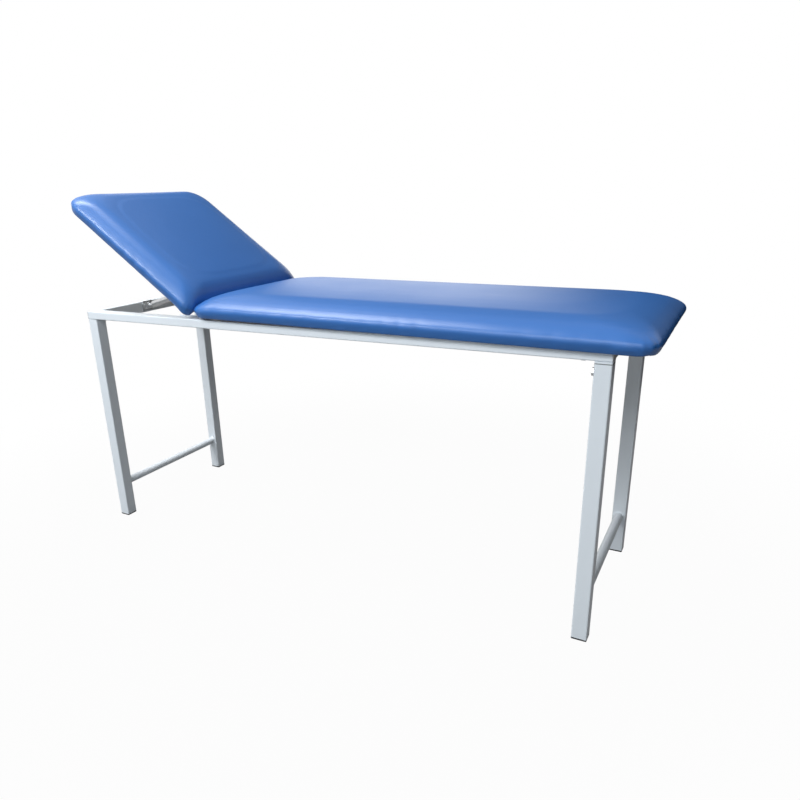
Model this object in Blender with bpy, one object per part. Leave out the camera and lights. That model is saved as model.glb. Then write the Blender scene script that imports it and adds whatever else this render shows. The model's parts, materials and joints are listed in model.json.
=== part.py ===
"""Examination bed: a white tubular frame with a vinyl seat pad and a hinged backrest on a ratchet strut.

Metres, +Z up, +X towards the foot end, -Y towards the near side. The origin lies on the floor, under the
middle of the bed as it stands with its backrest raised.
"""

from math import asin, atan2, cos, pi, radians, sin
from typing import NamedTuple

import bmesh
import bpy
from mathutils import Matrix, Vector

# Clearances
SEAT_GAP = 0.0003
RUNNING_GAP = 0.0002
HINGE_SIDE_GAP = 0.0008

# Frame
FRAME_LENGTH = 1.644
FRAME_WIDTH = 0.532
RAIL_TOP = 0.735
RAIL_WIDTH = 0.038
RAIL_HEIGHT = 0.025
HEAD_RAIL_WIDTH = 0.025
HEAD_RAIL_HEIGHT = 0.038
TUBE_WALL = 0.0015
TUBE_CORNER = 0.003
RAIL_CAP_FACE = 0.002
RAIL_CAP_PLUG = 0.012
SEAT_RAIL_FROM_HEAD = 0.535
MID_RAIL_FROM_HEAD = 1.090

# Legs
LEG_SIDE = 0.038
STRETCHER_DIAMETER = 0.025
STRETCHER_HEIGHT = 0.120
FOOT_CAP_FACE = 0.004
FOOT_CAP_PLUG = 0.015
SPIGOT_COLLAR = 0.005
SPIGOT_LENGTH = 0.070
SPIGOT_WALL = 0.004
LEG_BOLT_DROP = 0.022

# Bolts, screws and pins
LEG_BOLT_DIAMETER = 0.010
LEG_BOLT_FLATS = 0.017
LEG_BOLT_HEAD = 0.0065
LEG_NUT_HEIGHT = 0.008
SEAT_BOLT_DIAMETER = 0.008
SEAT_BOLT_FLATS = 0.013
SEAT_BOLT_HEAD = 0.004
SEAT_BOLT_INBOARD = 0.003
SEAT_BOLT_BITE = 0.010
HINGE_BOLT_DIAMETER = 0.008
HINGE_BOLT_FLATS = 0.013
HINGE_BOLT_HEAD = 0.005
HINGE_NUT_HEIGHT = 0.0065
SCREW_DIAMETER = 0.004
SCREW_HEAD_DIAMETER = 0.009
SCREW_HEAD_HEIGHT = 0.0025
SCREW_BITE = 0.011
PIN_DIAMETER = 0.008
PIN_HEAD_DIAMETER = 0.013
PIN_HEAD_HEIGHT = 0.003

# Pads: each is a plywood board in the underside of a crowned vinyl cushion
PAD_OVERHANG = 0.020
PAD_CORNER = 0.050
PAD_CROWN = 0.005
PAD_CROWN_ROUND = 0.9
PAD_SIDE_HEIGHT = 0.008
PAD_TUCK = 0.004
PAD_COVER = 0.009
SEAT_EDGE_HEIGHT = 0.060
SEAT_EDGE_ROUND = 0.105
SEAT_WAIST = 0.004
BACKREST_EDGE_HEIGHT = 0.065
BACKREST_EDGE_ROUND = 0.072
BACKREST_WAIST = 0.001
BACKREST_LOW_CORNER = 0.026
BOARD_THICKNESS = 0.015
FOOT_OVERHANG = 0.090
BACKREST_LENGTH = 0.550
SEAT_SPACER_DIAMETER = 0.014
SEAT_SPACER_FROM_HEAD = 0.503
FOOT_BOLT_INSET = 0.065

# Backrest hinge
HINGE_FROM_HEAD = 0.453
HINGE_LIFT = 0.005
BOARD_LIFT = 0.013
SEAT_FROM_HINGE = 0.010
BACKREST_FROM_HINGE = 0.008
REST_TILT = radians(35.0)
HINGE_PLATE_THICKNESS = 0.005
HINGE_PLATE_EAR = 0.0075
HINGE_PLATE_TAIL = 0.078
HINGE_PLATE_HEEL = 0.024
HINGE_PLATE_DEPTH = 0.022
HINGE_PLATE_RISE = 0.003
ARM_LENGTH = 0.190
ARM_THICKNESS = 0.003
ARM_FLANGE = 0.024
ARM_LUG = 0.008
ARM_FLANGE_START = 0.016
ARM_SCREWS_FROM_HINGE = (0.050, 0.160)

# Ratchet strut
STRUT_Y = -0.030
STRUT_PIN_FROM_RAIL = 0.017
STRUT_PIN_DROP = 0.015
STRUT_HEAD_FROM_HINGE = 0.138
STRUT_HEAD_DROP = 0.023
STRUT_TUBE_DIAMETER = 0.022
STRUT_TUBE_START = 0.024
STRUT_TUBE_END = 0.186
STRUT_COLLAR = 0.006
STRUT_PLUG = 0.025
STRUT_EYE_RADIUS = 0.009
STRUT_EYE_THICKNESS = 0.010
STRUT_ROD_DIAMETER = 0.009
STRUT_ROD_START = 0.013
STRUT_ROD_LENGTH = 0.185
RATCHET_PITCH = 0.006
RATCHET_TEETH = 9
RATCHET_DEPTH = 0.001
RATCHET_FROM_TIP = 0.008
BRACKET_PLATE = 0.003
BRACKET_WIDTH = 0.044
BRACKET_SIDE_GAP = 0.0005
BRACKET_LUG = 0.0085
FOOT_BRACKET_HEIGHT = 0.032
HEAD_BRACKET_LENGTH = 0.046

# Facets
CORNER_STEPS = 4
ROUND_SEGMENTS = 32
BOLT_SEGMENTS = 20
PAD_CORNER_STEPS = 8
PAD_SIDE_STEPS = 5
PAD_EDGE_STEPS = 7
PAD_TUCK_STEPS = 3
PAD_CROWN_STEPS = 3

# Places that several pieces share
HEAD_X = -(FRAME_LENGTH + FOOT_OVERHANG) / 2
FOOT_X = HEAD_X + FRAME_LENGTH
RAIL_BOTTOM = RAIL_TOP - RAIL_HEIGHT
RAIL_Y = (FRAME_WIDTH - RAIL_WIDTH) / 2
RAIL_INNER_Y = RAIL_Y - RAIL_WIDTH / 2
LEG_Y = (FRAME_WIDTH - LEG_SIDE) / 2
HEAD_LEG_X = HEAD_X + LEG_SIDE / 2
FOOT_LEG_X = FOOT_X - LEG_SIDE / 2
FOOT_LEG_TOP = RAIL_BOTTOM - SPIGOT_COLLAR - 2 * SEAT_GAP
LEG_BOTTOM = FOOT_CAP_FACE + SEAT_GAP
SPIGOT_SIDE = LEG_SIDE - 2 * TUBE_WALL - 2 * SEAT_GAP
PAD_WIDTH = FRAME_WIDTH + 2 * PAD_OVERHANG
HINGE_X = HEAD_X + HINGE_FROM_HEAD
HINGE_Z = RAIL_TOP + HINGE_LIFT
BOARD_ABOVE_HINGE = BOARD_LIFT - HINGE_LIFT
SEAT_HEAD_X = HINGE_X + SEAT_FROM_HINGE
SEAT_LENGTH = FOOT_X + FOOT_OVERHANG - SEAT_HEAD_X
SEAT_TILT = atan2(BOARD_LIFT - SEAT_GAP, FOOT_X - SEAT_HEAD_X)
SEAT_BOLT_Y = RAIL_Y - SEAT_BOLT_INBOARD
SPACER_X = HEAD_X + SEAT_SPACER_FROM_HEAD
FOOT_BOLT_X = FOOT_X - FOOT_BOLT_INSET
HINGE_PLATE_Y = RAIL_INNER_Y - SEAT_GAP - HINGE_PLATE_THICKNESS / 2
ARM_Y = HINGE_PLATE_Y - (HINGE_PLATE_THICKNESS + ARM_THICKNESS) / 2 - HINGE_SIDE_GAP
ARM_TOP = BOARD_ABOVE_HINGE - SEAT_GAP
STRUT_FOOT = Vector((HEAD_X + HEAD_RAIL_WIDTH + STRUT_PIN_FROM_RAIL, STRUT_Y, RAIL_TOP - STRUT_PIN_DROP))
STRUT_HEAD_LOCAL = Vector((-STRUT_HEAD_FROM_HINGE, STRUT_Y, BOARD_ABOVE_HINGE - STRUT_HEAD_DROP))
CHEEK_OFFSET = (STRUT_EYE_THICKNESS + BRACKET_PLATE) / 2 + BRACKET_SIDE_GAP
SIDES = {"near": -1, "far": 1}

# Turns that lay a piece made along +Z into place
ALONG_X = (0.0, pi / 2, 0.0)
ALONG_Y = (pi / 2, 0.0, 0.0)
UPRIGHT = (0.0, 0.0, 0.0)
TURNED_BACK = (0.0, -pi / 2, 0.0)


class PadForm(NamedTuple):
    """What differs between the two pads."""

    length: float
    edge_height: float
    edge_round: float
    waist: float
    foot_corner: float


SEAT_PAD = PadForm(SEAT_LENGTH, SEAT_EDGE_HEIGHT, SEAT_EDGE_ROUND, SEAT_WAIST, PAD_CORNER)
BACKREST_PAD = PadForm(
    BACKREST_LENGTH, BACKREST_EDGE_HEIGHT, BACKREST_EDGE_ROUND, BACKREST_WAIST, BACKREST_LOW_CORNER
)


def new_collection(name):
    """A collection in the scene."""
    made = bpy.data.collections.new(name)
    bpy.context.scene.collection.children.link(made)
    return made


def new_material(name, colour, roughness, metallic):
    """A plain Principled material."""
    made = bpy.data.materials.new(name)
    made.use_nodes = True
    shader = made.node_tree.nodes["Principled BSDF"]
    shader.inputs["Base Color"].default_value = (*colour, 1.0)
    shader.inputs["Roughness"].default_value = roughness
    shader.inputs["Metallic"].default_value = metallic
    made.diffuse_color = (*colour, 1.0)
    return made


def add_part(name, mesh, material, location=(0, 0, 0), turn=UPRIGHT, parent=None):
    """A finished sub-part at its place."""
    part = bpy.data.objects.new(name, mesh)
    mesh.materials.clear()
    mesh.materials.append(material)
    PARTS.objects.link(part)
    part.location = location
    part.rotation_euler = turn
    part.parent = parent
    return part


def add_helper(name, mesh, location=(0, 0, 0), turn=UPRIGHT, parent=None):
    """A shape that cuts or joins a part and isn't one itself."""
    helper = bpy.data.objects.new(name, mesh)
    HELPERS.objects.link(helper)
    helper.location = location
    helper.rotation_euler = turn
    helper.parent = parent
    helper.hide_render = True
    helper.display_type = "WIRE"
    return helper


def add_pivot(name, location, turn=UPRIGHT, parent=None):
    """An empty on a joint's axis, which carries the pieces that turn with it."""
    pivot = bpy.data.objects.new(name, None)
    PARTS.objects.link(pivot)
    pivot.location = location
    pivot.rotation_euler = turn
    pivot.parent = parent
    return pivot


def combine(part, other, operation):
    """Cuts another shape out of a part, or joins it on."""
    modifier = part.modifiers.new(other.name, "BOOLEAN")
    modifier.object = other
    modifier.operation = operation
    modifier.solver = "EXACT"


def circle_points(radius, segments=ROUND_SEGMENTS, centre=(0, 0)):
    """Points round a circle."""
    turns = [2 * pi * step / segments for step in range(segments)]
    return [(centre[0] + radius * cos(turn), centre[1] + radius * sin(turn)) for turn in turns]


def arc_points(radius, start, end, steps=ROUND_SEGMENTS // 2):
    """Points along an arc about the origin, ends included."""
    turns = [start + (end - start) * step / steps for step in range(steps + 1)]
    return [(radius * cos(turn), radius * sin(turn)) for turn in turns]


def rounded_rectangle(width, height, radius, steps=CORNER_STEPS):
    """Points round a rectangle with round corners, centred on the origin."""
    points = []
    corners = ((1, 1, 0), (-1, 1, 1), (-1, -1, 2), (1, -1, 3))
    for side_x, side_y, quarter in corners:
        centre_x = side_x * (width / 2 - radius)
        centre_y = side_y * (height / 2 - radius)
        for x, y in arc_points(radius, quarter * pi / 2, (quarter + 1) * pi / 2, steps):
            points.append((centre_x + x, centre_y + y))
    return points


def extruded(name, outlines, thickness):
    """A flat outline, with any holes in it, made a closed mesh of this thickness about the XY plane."""
    curve = bpy.data.curves.new(name, "CURVE")
    curve.dimensions = "2D"
    curve.fill_mode = "BOTH"
    curve.extrude = thickness / 2
    for outline in outlines:
        spline = curve.splines.new("POLY")
        spline.points.add(len(outline) - 1)
        for point, (x, y) in zip(spline.points, outline):
            point.co = (x, y, 0.0, 1.0)
        spline.use_cyclic_u = True
    guide = bpy.data.objects.new(name, curve)
    HELPERS.objects.link(guide)
    graph = bpy.context.evaluated_depsgraph_get()
    mesh = bpy.data.meshes.new_from_object(guide.evaluated_get(graph))
    bpy.data.objects.remove(guide)
    shape = bmesh.new()
    shape.from_mesh(mesh)
    bmesh.ops.remove_doubles(shape, verts=shape.verts, dist=1e-6)
    bmesh.ops.recalc_face_normals(shape, faces=shape.faces)
    shape.to_mesh(mesh)
    shape.free()
    mesh.name = name
    smooth_rounds(mesh)
    return mesh


def smooth_rounds(mesh):
    """Shades round faces smooth and leaves square edges sharp."""
    mesh.shade_smooth()
    mesh.set_sharp_from_angle(angle=radians(35.0))


def box_mesh(name, size, centre=(0, 0, 0)):
    """A box of this size, about this centre."""
    mesh = bpy.data.meshes.new(name)
    shape = bmesh.new()
    bmesh.ops.create_cube(shape, size=1.0, matrix=Matrix.Translation(centre) @ Matrix.Diagonal((*size, 1.0)))
    shape.to_mesh(mesh)
    shape.free()
    return mesh


def rod_mesh(name, diameter, low, high, segments=BOLT_SEGMENTS):
    """A round bar along Z between two heights."""
    mesh = bpy.data.meshes.new(name)
    shape = bmesh.new()
    bmesh.ops.create_cone(
        shape,
        cap_ends=True,
        segments=segments,
        radius1=diameter / 2,
        radius2=diameter / 2,
        depth=high - low,
        matrix=Matrix.Translation((0, 0, (low + high) / 2)),
    )
    shape.to_mesh(mesh)
    shape.free()
    smooth_rounds(mesh)
    return mesh


def hexagon_points(flats):
    """The corners of a hexagon of this width across its flats."""
    return circle_points(flats / 2 / cos(pi / 6), 6)


def box_tube(name, width, height, length):
    """A rectangular tube along Z with round corners."""
    outer = rounded_rectangle(width, height, TUBE_CORNER)
    inner = rounded_rectangle(width - 2 * TUBE_WALL, height - 2 * TUBE_WALL, TUBE_CORNER - TUBE_WALL)
    return extruded(name, [outer, inner], length)


def round_tube(name, diameter, wall, length):
    """A round tube along Z."""
    return extruded(name, [circle_points(diameter / 2), circle_points(diameter / 2 - wall)], length)


def add_bolt(name, material, size, location, turn, parent=None):
    """A hex bolt: its head sits below its origin and its shank runs up +Z from there."""
    diameter, flats, head, shank = size
    bolt = add_part(name, extruded(name, [hexagon_points(flats)], head), material, location, turn, parent)
    for vertex in bolt.data.vertices:
        vertex.co.z -= head / 2
    shank_mesh = rod_mesh(name + "_shank", diameter, -head / 2, shank)
    helper = add_helper(name + "_shank", shank_mesh, location, turn, parent)
    combine(bolt, helper, "UNION")
    return bolt


def add_pin(name, material, grip, location, parent=None):
    """A riveted pin along Y with a head at each end, which holds pieces of this total width."""
    radius = PIN_DIAMETER / 2
    head_radius = PIN_HEAD_DIAMETER / 2
    half = grip / 2 + SEAT_GAP
    end = half + PIN_HEAD_HEIGHT
    profile = [(0, end), (head_radius, end), (head_radius, half), (radius, half)]
    profile += [(x, -z) for x, z in reversed(profile)]
    return add_part(name, turned(name, profile), material, location, ALONG_Y, parent)


def turned(name, profile, segments=BOLT_SEGMENTS):
    """A turned solid about Z: its profile runs down the outer side from the axis to the axis."""
    mesh = bpy.data.meshes.new(name)
    shape = bmesh.new()
    chain = [shape.verts.new((x, 0, z)) for x, z in profile]
    edges = [shape.edges.new(pair) for pair in zip(chain[:-1], chain[1:])]
    bmesh.ops.spin(
        shape,
        geom=chain + edges,
        cent=(0, 0, 0),
        axis=(0, 0, 1),
        angle=2 * pi,
        steps=segments,
        use_merge=True,
    )
    bmesh.ops.remove_doubles(shape, verts=shape.verts, dist=1e-6)
    bmesh.ops.recalc_face_normals(shape, faces=shape.faces)
    shape.to_mesh(mesh)
    shape.free()
    smooth_rounds(mesh)
    return mesh


def bore(part, name, diameter, low, high, location, turn, parent=None):
    """Drills a round hole along the turned Z axis between two heights."""
    helper = add_helper(name, rod_mesh(name, diameter, low, high), location, turn, parent)
    combine(part, helper, "DIFFERENCE")


def plug_cap(name, face_size, plug_size, face, plug, corner, material, location, turn):
    """A push-in cap: its face is below its origin, and its plug runs up +Z inside a tube."""
    cover = extruded(name, [rounded_rectangle(*face_size, corner)], face)
    cap = add_part(name, cover, material, location, turn)
    for vertex in cap.data.vertices:
        vertex.co.z -= face / 2
    stem = extruded(name + "_plug", [rounded_rectangle(*plug_size, corner / 2)], plug + face / 2)
    for vertex in stem.vertices:
        vertex.co.z += plug / 2 - face / 4
    combine(cap, add_helper(name + "_plug", stem, location, turn), "UNION")
    return cap


def build_side_rails():
    """The two long rails, with the plugs in their ends and the holes for the seat bolts."""
    length = FRAME_LENGTH - 2 * RAIL_CAP_FACE - 2 * SEAT_GAP
    inner = (RAIL_HEIGHT - 2 * TUBE_WALL - 2 * SEAT_GAP, RAIL_WIDTH - 2 * TUBE_WALL - 2 * SEAT_GAP)
    middle_z = RAIL_TOP - RAIL_HEIGHT / 2
    for side, sign in SIDES.items():
        name = f"{side}_side_rail"
        place = ((HEAD_X + FOOT_X) / 2, sign * RAIL_Y, middle_z)
        rail = add_part(name, box_tube(name, RAIL_HEIGHT, RAIL_WIDTH, length), PAINT, place, ALONG_X)
        for end, x in (("head", SPACER_X), ("foot", FOOT_BOLT_X)):
            hole = SEAT_BOLT_DIAMETER + 2 * SEAT_GAP
            where = (x, sign * SEAT_BOLT_Y, middle_z)
            bore(rail, f"{side}_{end}_rail_hole", hole, -RAIL_HEIGHT, RAIL_HEIGHT, where, UPRIGHT)
        for end, x, turn in (("head", HEAD_X, ALONG_X), ("foot", FOOT_X, TURNED_BACK)):
            facing = 1 if end == "head" else -1
            plug_cap(
                f"{side}_{end}_rail_cap",
                (RAIL_HEIGHT, RAIL_WIDTH),
                inner,
                RAIL_CAP_FACE,
                RAIL_CAP_PLUG,
                TUBE_CORNER,
                CAP_PLASTIC,
                (x + facing * RAIL_CAP_FACE, sign * RAIL_Y, middle_z),
                turn,
            )


def build_cross_rails():
    """The rails that run across between the side rails."""
    length = 2 * RAIL_INNER_Y - 2 * SEAT_GAP
    flat = (RAIL_WIDTH, RAIL_HEIGHT)
    deep = (HEAD_RAIL_WIDTH, HEAD_RAIL_HEIGHT)
    rails = {
        "head_cross_rail": (HEAD_X + HEAD_RAIL_WIDTH / 2, deep),
        "seat_cross_rail": (HEAD_X + SEAT_RAIL_FROM_HEAD, flat),
        "mid_cross_rail": (HEAD_X + MID_RAIL_FROM_HEAD, flat),
        "foot_cross_rail": (FOOT_X - RAIL_WIDTH / 2, flat),
    }
    for name, (x, (width, height)) in rails.items():
        add_part(name, box_tube(name, width, height, length), PAINT, (x, 0, RAIL_TOP - height / 2), ALONG_Y)


def build_legs():
    """The four legs with their foot caps, and the stretcher between each pair."""
    ends = {
        "head": (HEAD_LEG_X, RAIL_BOTTOM - SEAT_GAP),
        "foot": (FOOT_LEG_X, FOOT_LEG_TOP),
    }
    inner = LEG_SIDE - 2 * TUBE_WALL - 2 * SEAT_GAP
    for end, (x, top) in ends.items():
        for side, sign in SIDES.items():
            name = f"{side}_{end}_leg"
            place = (x, sign * LEG_Y, (top + LEG_BOTTOM) / 2)
            leg = add_part(name, box_tube(name, LEG_SIDE, LEG_SIDE, top - LEG_BOTTOM), PAINT, place)
            if end == "foot":
                build_spigot(side, sign, leg)
            plug_cap(
                f"{side}_{end}_leg_cap",
                (LEG_SIDE, LEG_SIDE),
                (inner, inner),
                FOOT_CAP_FACE,
                FOOT_CAP_PLUG,
                TUBE_CORNER,
                BLACK_PLASTIC,
                (x, sign * LEG_Y, FOOT_CAP_FACE),
                UPRIGHT,
            )
        span = 2 * (LEG_Y - LEG_SIDE / 2 - SEAT_GAP)
        name = f"{end}_stretcher"
        mesh = round_tube(name, STRETCHER_DIAMETER, TUBE_WALL, span)
        add_part(name, mesh, PAINT, (x, 0, STRETCHER_HEIGHT), ALONG_Y)


def build_spigot(side, sign, leg):
    """The collar and spigot under the rail that a foot leg slides on, with the bolt and nut that hold it."""
    name = f"{side}_leg_spigot"
    collar_top = RAIL_BOTTOM - SEAT_GAP
    place = (FOOT_LEG_X, sign * LEG_Y, collar_top - SPIGOT_COLLAR / 2)
    collar = extruded(name, [rounded_rectangle(LEG_SIDE, LEG_SIDE, TUBE_CORNER)], SPIGOT_COLLAR)
    spigot = add_part(name, collar, PAINT, place)
    side_corner = TUBE_CORNER - TUBE_WALL
    hollow_side = SPIGOT_SIDE - 2 * SPIGOT_WALL
    outer = rounded_rectangle(SPIGOT_SIDE, SPIGOT_SIDE, side_corner)
    hollow = rounded_rectangle(hollow_side, hollow_side, side_corner)
    stem_z = collar_top - (SPIGOT_COLLAR + SPIGOT_LENGTH) / 2
    stem = extruded(name + "_stem", [outer, hollow], SPIGOT_LENGTH)
    combine(spigot, add_helper(name + "_stem", stem, (FOOT_LEG_X, sign * LEG_Y, stem_z)), "UNION")

    leg_face = FOOT_LEG_X - LEG_SIDE / 2
    bolt_place = (leg_face - SEAT_GAP, sign * LEG_Y, FOOT_LEG_TOP - LEG_BOLT_DROP)
    hole = LEG_BOLT_DIAMETER + 2 * SEAT_GAP
    through = LEG_SIDE / 2
    bore(leg, f"{side}_leg_hole", hole, -through, through, bolt_place, ALONG_X)
    bore(spigot, f"{side}_spigot_hole", hole, -through, through, bolt_place, ALONG_X)
    nut_face = (LEG_SIDE - SPIGOT_SIDE) / 2 + SPIGOT_WALL + 2 * SEAT_GAP
    shank = nut_face + LEG_NUT_HEIGHT
    size = (LEG_BOLT_DIAMETER, LEG_BOLT_FLATS, LEG_BOLT_HEAD, shank)
    add_bolt(f"{side}_leg_bolt", ZINC, size, bolt_place, ALONG_X)
    nut_outlines = [hexagon_points(LEG_BOLT_FLATS), circle_points(hole / 2, BOLT_SEGMENTS)]
    nut_x = bolt_place[0] + nut_face + LEG_NUT_HEIGHT / 2
    nut_mesh = extruded(f"{side}_leg_nut", nut_outlines, LEG_NUT_HEIGHT)
    add_part(f"{side}_leg_nut", nut_mesh, ZINC, (nut_x, bolt_place[1], bolt_place[2]), ALONG_X)


def pad_ring(length, width, corners, waist, height):
    """Points round a pad at one height, with round corners and with sides that the waist draws in."""
    ring = []
    foot_corner, head_corner = corners
    quarters = ((1, 1, foot_corner), (-1, 1, head_corner), (-1, -1, head_corner), (1, -1, foot_corner))
    longest = max(length, width)
    for quarter, (side_x, side_y, corner) in enumerate(quarters):
        centre = Vector((side_x * (length / 2 - corner), side_y * (width / 2 - corner), height))
        for x, y in arc_points(corner, quarter * pi / 2, (quarter + 1) * pi / 2, PAD_CORNER_STEPS):
            ring.append(centre + Vector((x, y, 0)))
        next_x, next_y, next_corner = quarters[(quarter + 1) % 4]
        next_flat = Vector((length / 2 - next_corner, width / 2 - next_corner, height))
        next_centre = next_flat * Vector((next_x, next_y, 1))
        outward = Vector((cos((quarter + 1) * pi / 2), sin((quarter + 1) * pi / 2), 0))
        start, end = centre + outward * corner, next_centre + outward * next_corner
        side_waist = waist * ((end - start).length / longest) ** 2
        for step in range(1, PAD_SIDE_STEPS + 1):
            share = step / (PAD_SIDE_STEPS + 1)
            drawn_in = side_waist * 4 * share * (1 - share)
            ring.append(start.lerp(end, share) - outward * drawn_in)
    return ring


def pad_rings(form):
    """The rings of a pad: the board's pocket, the tucked lower edge, over the side and up the crown."""
    pocket = PAD_COVER - SEAT_GAP
    board_corner = PAD_CORNER - PAD_COVER + SEAT_GAP

    def ring(inset, height, waist, grown):
        corners = (form.foot_corner + grown, PAD_CORNER + grown)
        return pad_ring(form.length - 2 * inset, PAD_WIDTH - 2 * inset, corners, waist, height)

    inner = (form.length - 2 * pocket, PAD_WIDTH - 2 * pocket, (board_corner, board_corner), 0.0)
    rings = [pad_ring(*inner, BOARD_THICKNESS + SEAT_GAP), pad_ring(*inner, 0.0)]
    for step in range(PAD_TUCK_STEPS):
        turn = pi / 2 * (1 - step / PAD_TUCK_STEPS)
        inset = PAD_TUCK * (1 - cos(turn))
        rings.append(ring(inset, PAD_SIDE_HEIGHT * (1 - sin(turn)), form.waist, -inset))
    crown_inset = PAD_WIDTH / 2 - PAD_CORNER
    crown_slope = 2 * PAD_CROWN / (crown_inset - form.edge_round)
    edge_rise = form.edge_height - PAD_SIDE_HEIGHT
    last_turn = atan2(edge_rise, form.edge_round * crown_slope)
    for step in range(PAD_EDGE_STEPS + 1):
        turn = last_turn * step / PAD_EDGE_STEPS
        inset = form.edge_round * (1 - cos(turn))
        rings.append(ring(inset, PAD_SIDE_HEIGHT + edge_rise * sin(turn), form.waist * cos(turn), inset / 2))
    edge_inset = form.edge_round * (1 - cos(last_turn))
    crown_rise = PAD_CROWN + edge_rise * (1 - sin(last_turn))
    for step in range(1, PAD_CROWN_STEPS + 1):
        from_middle = 1 - step / PAD_CROWN_STEPS
        inset = crown_inset - (crown_inset - edge_inset) * from_middle
        corner = (min(form.length, PAD_WIDTH) / 2 - inset) * PAD_CROWN_ROUND
        height = form.edge_height + PAD_CROWN - crown_rise * from_middle**2
        rings.append(pad_ring(form.length - 2 * inset, PAD_WIDTH - 2 * inset, (corner, corner), 0.0, height))
    return rings


def lofted(name, rings):
    """A closed solid through rings of as many points each."""
    mesh = bpy.data.meshes.new(name)
    shape = bmesh.new()
    loops = [[shape.verts.new(point) for point in ring] for ring in rings]
    count = len(rings[0])
    for lower, upper in zip(loops[:-1], loops[1:]):
        for index in range(count):
            after = (index + 1) % count
            shape.faces.new((lower[index], lower[after], upper[after], upper[index]))
    shape.faces.new(list(reversed(loops[0])))
    shape.faces.new(loops[-1])
    bmesh.ops.recalc_face_normals(shape, faces=shape.faces)
    shape.to_mesh(mesh)
    shape.free()
    smooth_rounds(mesh)
    return mesh


def build_pad(name, form, middle_x, underside, parent):
    """A cushion and the board in its underside, on a pivot: the middle and the underside are in its frame."""
    place = (middle_x, 0, underside)
    cushion = lofted(f"{name}_cushion", pad_rings(form))
    add_part(f"{name}_cushion", cushion, VINYL, place, parent=parent)
    size = (form.length - 2 * PAD_COVER, PAD_WIDTH - 2 * PAD_COVER)
    outline = rounded_rectangle(*size, PAD_CORNER - PAD_COVER, PAD_CORNER_STEPS)
    board = extruded(f"{name}_board", [outline], BOARD_THICKNESS)
    board_place = (middle_x, 0, underside + BOARD_THICKNESS / 2)
    return add_part(f"{name}_board", board, PLYWOOD, board_place, parent=parent)


def build_seat():
    """The fixed seat pad, raised at its head end on spacers, with its four bolts through the side rails."""
    tilt = add_pivot("seat_tilt", (SEAT_HEAD_X, 0, RAIL_TOP + BOARD_LIFT), (0, SEAT_TILT, 0))
    board = build_pad("seat", SEAT_PAD, SEAT_LENGTH / 2, 0.0, tilt)
    for end, x in (("head", SPACER_X), ("foot", FOOT_BOLT_X)):
        gap = BOARD_LIFT - (x - SEAT_HEAD_X) * sin(SEAT_TILT)
        shank = RAIL_HEIGHT + gap + SEAT_BOLT_BITE
        hole = SEAT_BOLT_DIAMETER + 2 * SEAT_GAP
        for side, sign in SIDES.items():
            place = (x, sign * SEAT_BOLT_Y, RAIL_BOTTOM - SEAT_GAP)
            size = (SEAT_BOLT_DIAMETER, SEAT_BOLT_FLATS, SEAT_BOLT_HEAD, shank)
            add_bolt(f"{side}_{end}_seat_bolt", ZINC, size, place, UPRIGHT)
            bore(board, f"{side}_{end}_board_hole", hole, 0.0, shank + 2 * SEAT_GAP, place, UPRIGHT)
            if end == "head":
                name = f"{side}_seat_spacer"
                height = gap - 2 * SEAT_GAP - SEAT_SPACER_DIAMETER * sin(SEAT_TILT)
                wall = (SEAT_SPACER_DIAMETER - hole) / 2
                sleeve = round_tube(name, SEAT_SPACER_DIAMETER, wall, height)
                sleeve_place = (x, sign * SEAT_BOLT_Y, RAIL_TOP + SEAT_GAP + height / 2)
                add_part(name, sleeve, BLACK_PLASTIC, sleeve_place)


def build_hinges():
    """A hinge plate on the inner face of each side rail, with the bolt and nut that the backrest turns on."""
    shoulder = HINGE_PLATE_RISE - HINGE_LIFT
    lean = asin(-shoulder / HINGE_PLATE_EAR)
    low = -HINGE_LIFT - HINGE_PLATE_DEPTH
    outline = [(-HINGE_PLATE_TAIL, low), (HINGE_PLATE_HEEL, low), (HINGE_PLATE_HEEL, shoulder)]
    outline += arc_points(HINGE_PLATE_EAR, -lean, pi + lean)
    outline += [(-HINGE_PLATE_TAIL, shoulder)]
    hole = circle_points(HINGE_BOLT_DIAMETER / 2 + RUNNING_GAP, BOLT_SEGMENTS)
    for side, sign in SIDES.items():
        name = f"{side}_hinge_plate"
        plate = extruded(name, [outline, hole], HINGE_PLATE_THICKNESS)
        add_part(name, plate, PAINT, (HINGE_X, sign * HINGE_PLATE_Y, HINGE_Z), ALONG_Y)
        inward = (pi / 2 * sign, 0, 0)
        arm_inner = ARM_Y - ARM_THICKNESS / 2
        head_y = HINGE_PLATE_Y + HINGE_PLATE_THICKNESS / 2
        build_hinge_bolt(side, sign, arm_inner, head_y, inward)


def build_hinge_bolt(side, sign, arm_inner, plate_outer, inward):
    """The bolt through an arm and its hinge plate, with its head and nut on the inboard side."""
    nut_face = arm_inner - HINGE_SIDE_GAP
    head_face = nut_face - HINGE_NUT_HEIGHT - SEAT_GAP
    shank = plate_outer - SEAT_GAP - head_face
    place = (HINGE_X, sign * head_face, HINGE_Z)
    outward = (-pi / 2 * sign, 0, 0)
    size = (HINGE_BOLT_DIAMETER, HINGE_BOLT_FLATS, HINGE_BOLT_HEAD, shank)
    add_bolt(f"{side}_hinge_bolt", ZINC, size, place, outward)
    hole = circle_points(HINGE_BOLT_DIAMETER / 2 + RUNNING_GAP, BOLT_SEGMENTS)
    nut = extruded(f"{side}_hinge_nut", [hexagon_points(HINGE_BOLT_FLATS), hole], HINGE_NUT_HEIGHT)
    middle = nut_face - HINGE_NUT_HEIGHT / 2
    add_part(f"{side}_hinge_nut", nut, ZINC, (HINGE_X, sign * middle, HINGE_Z), inward)


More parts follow.
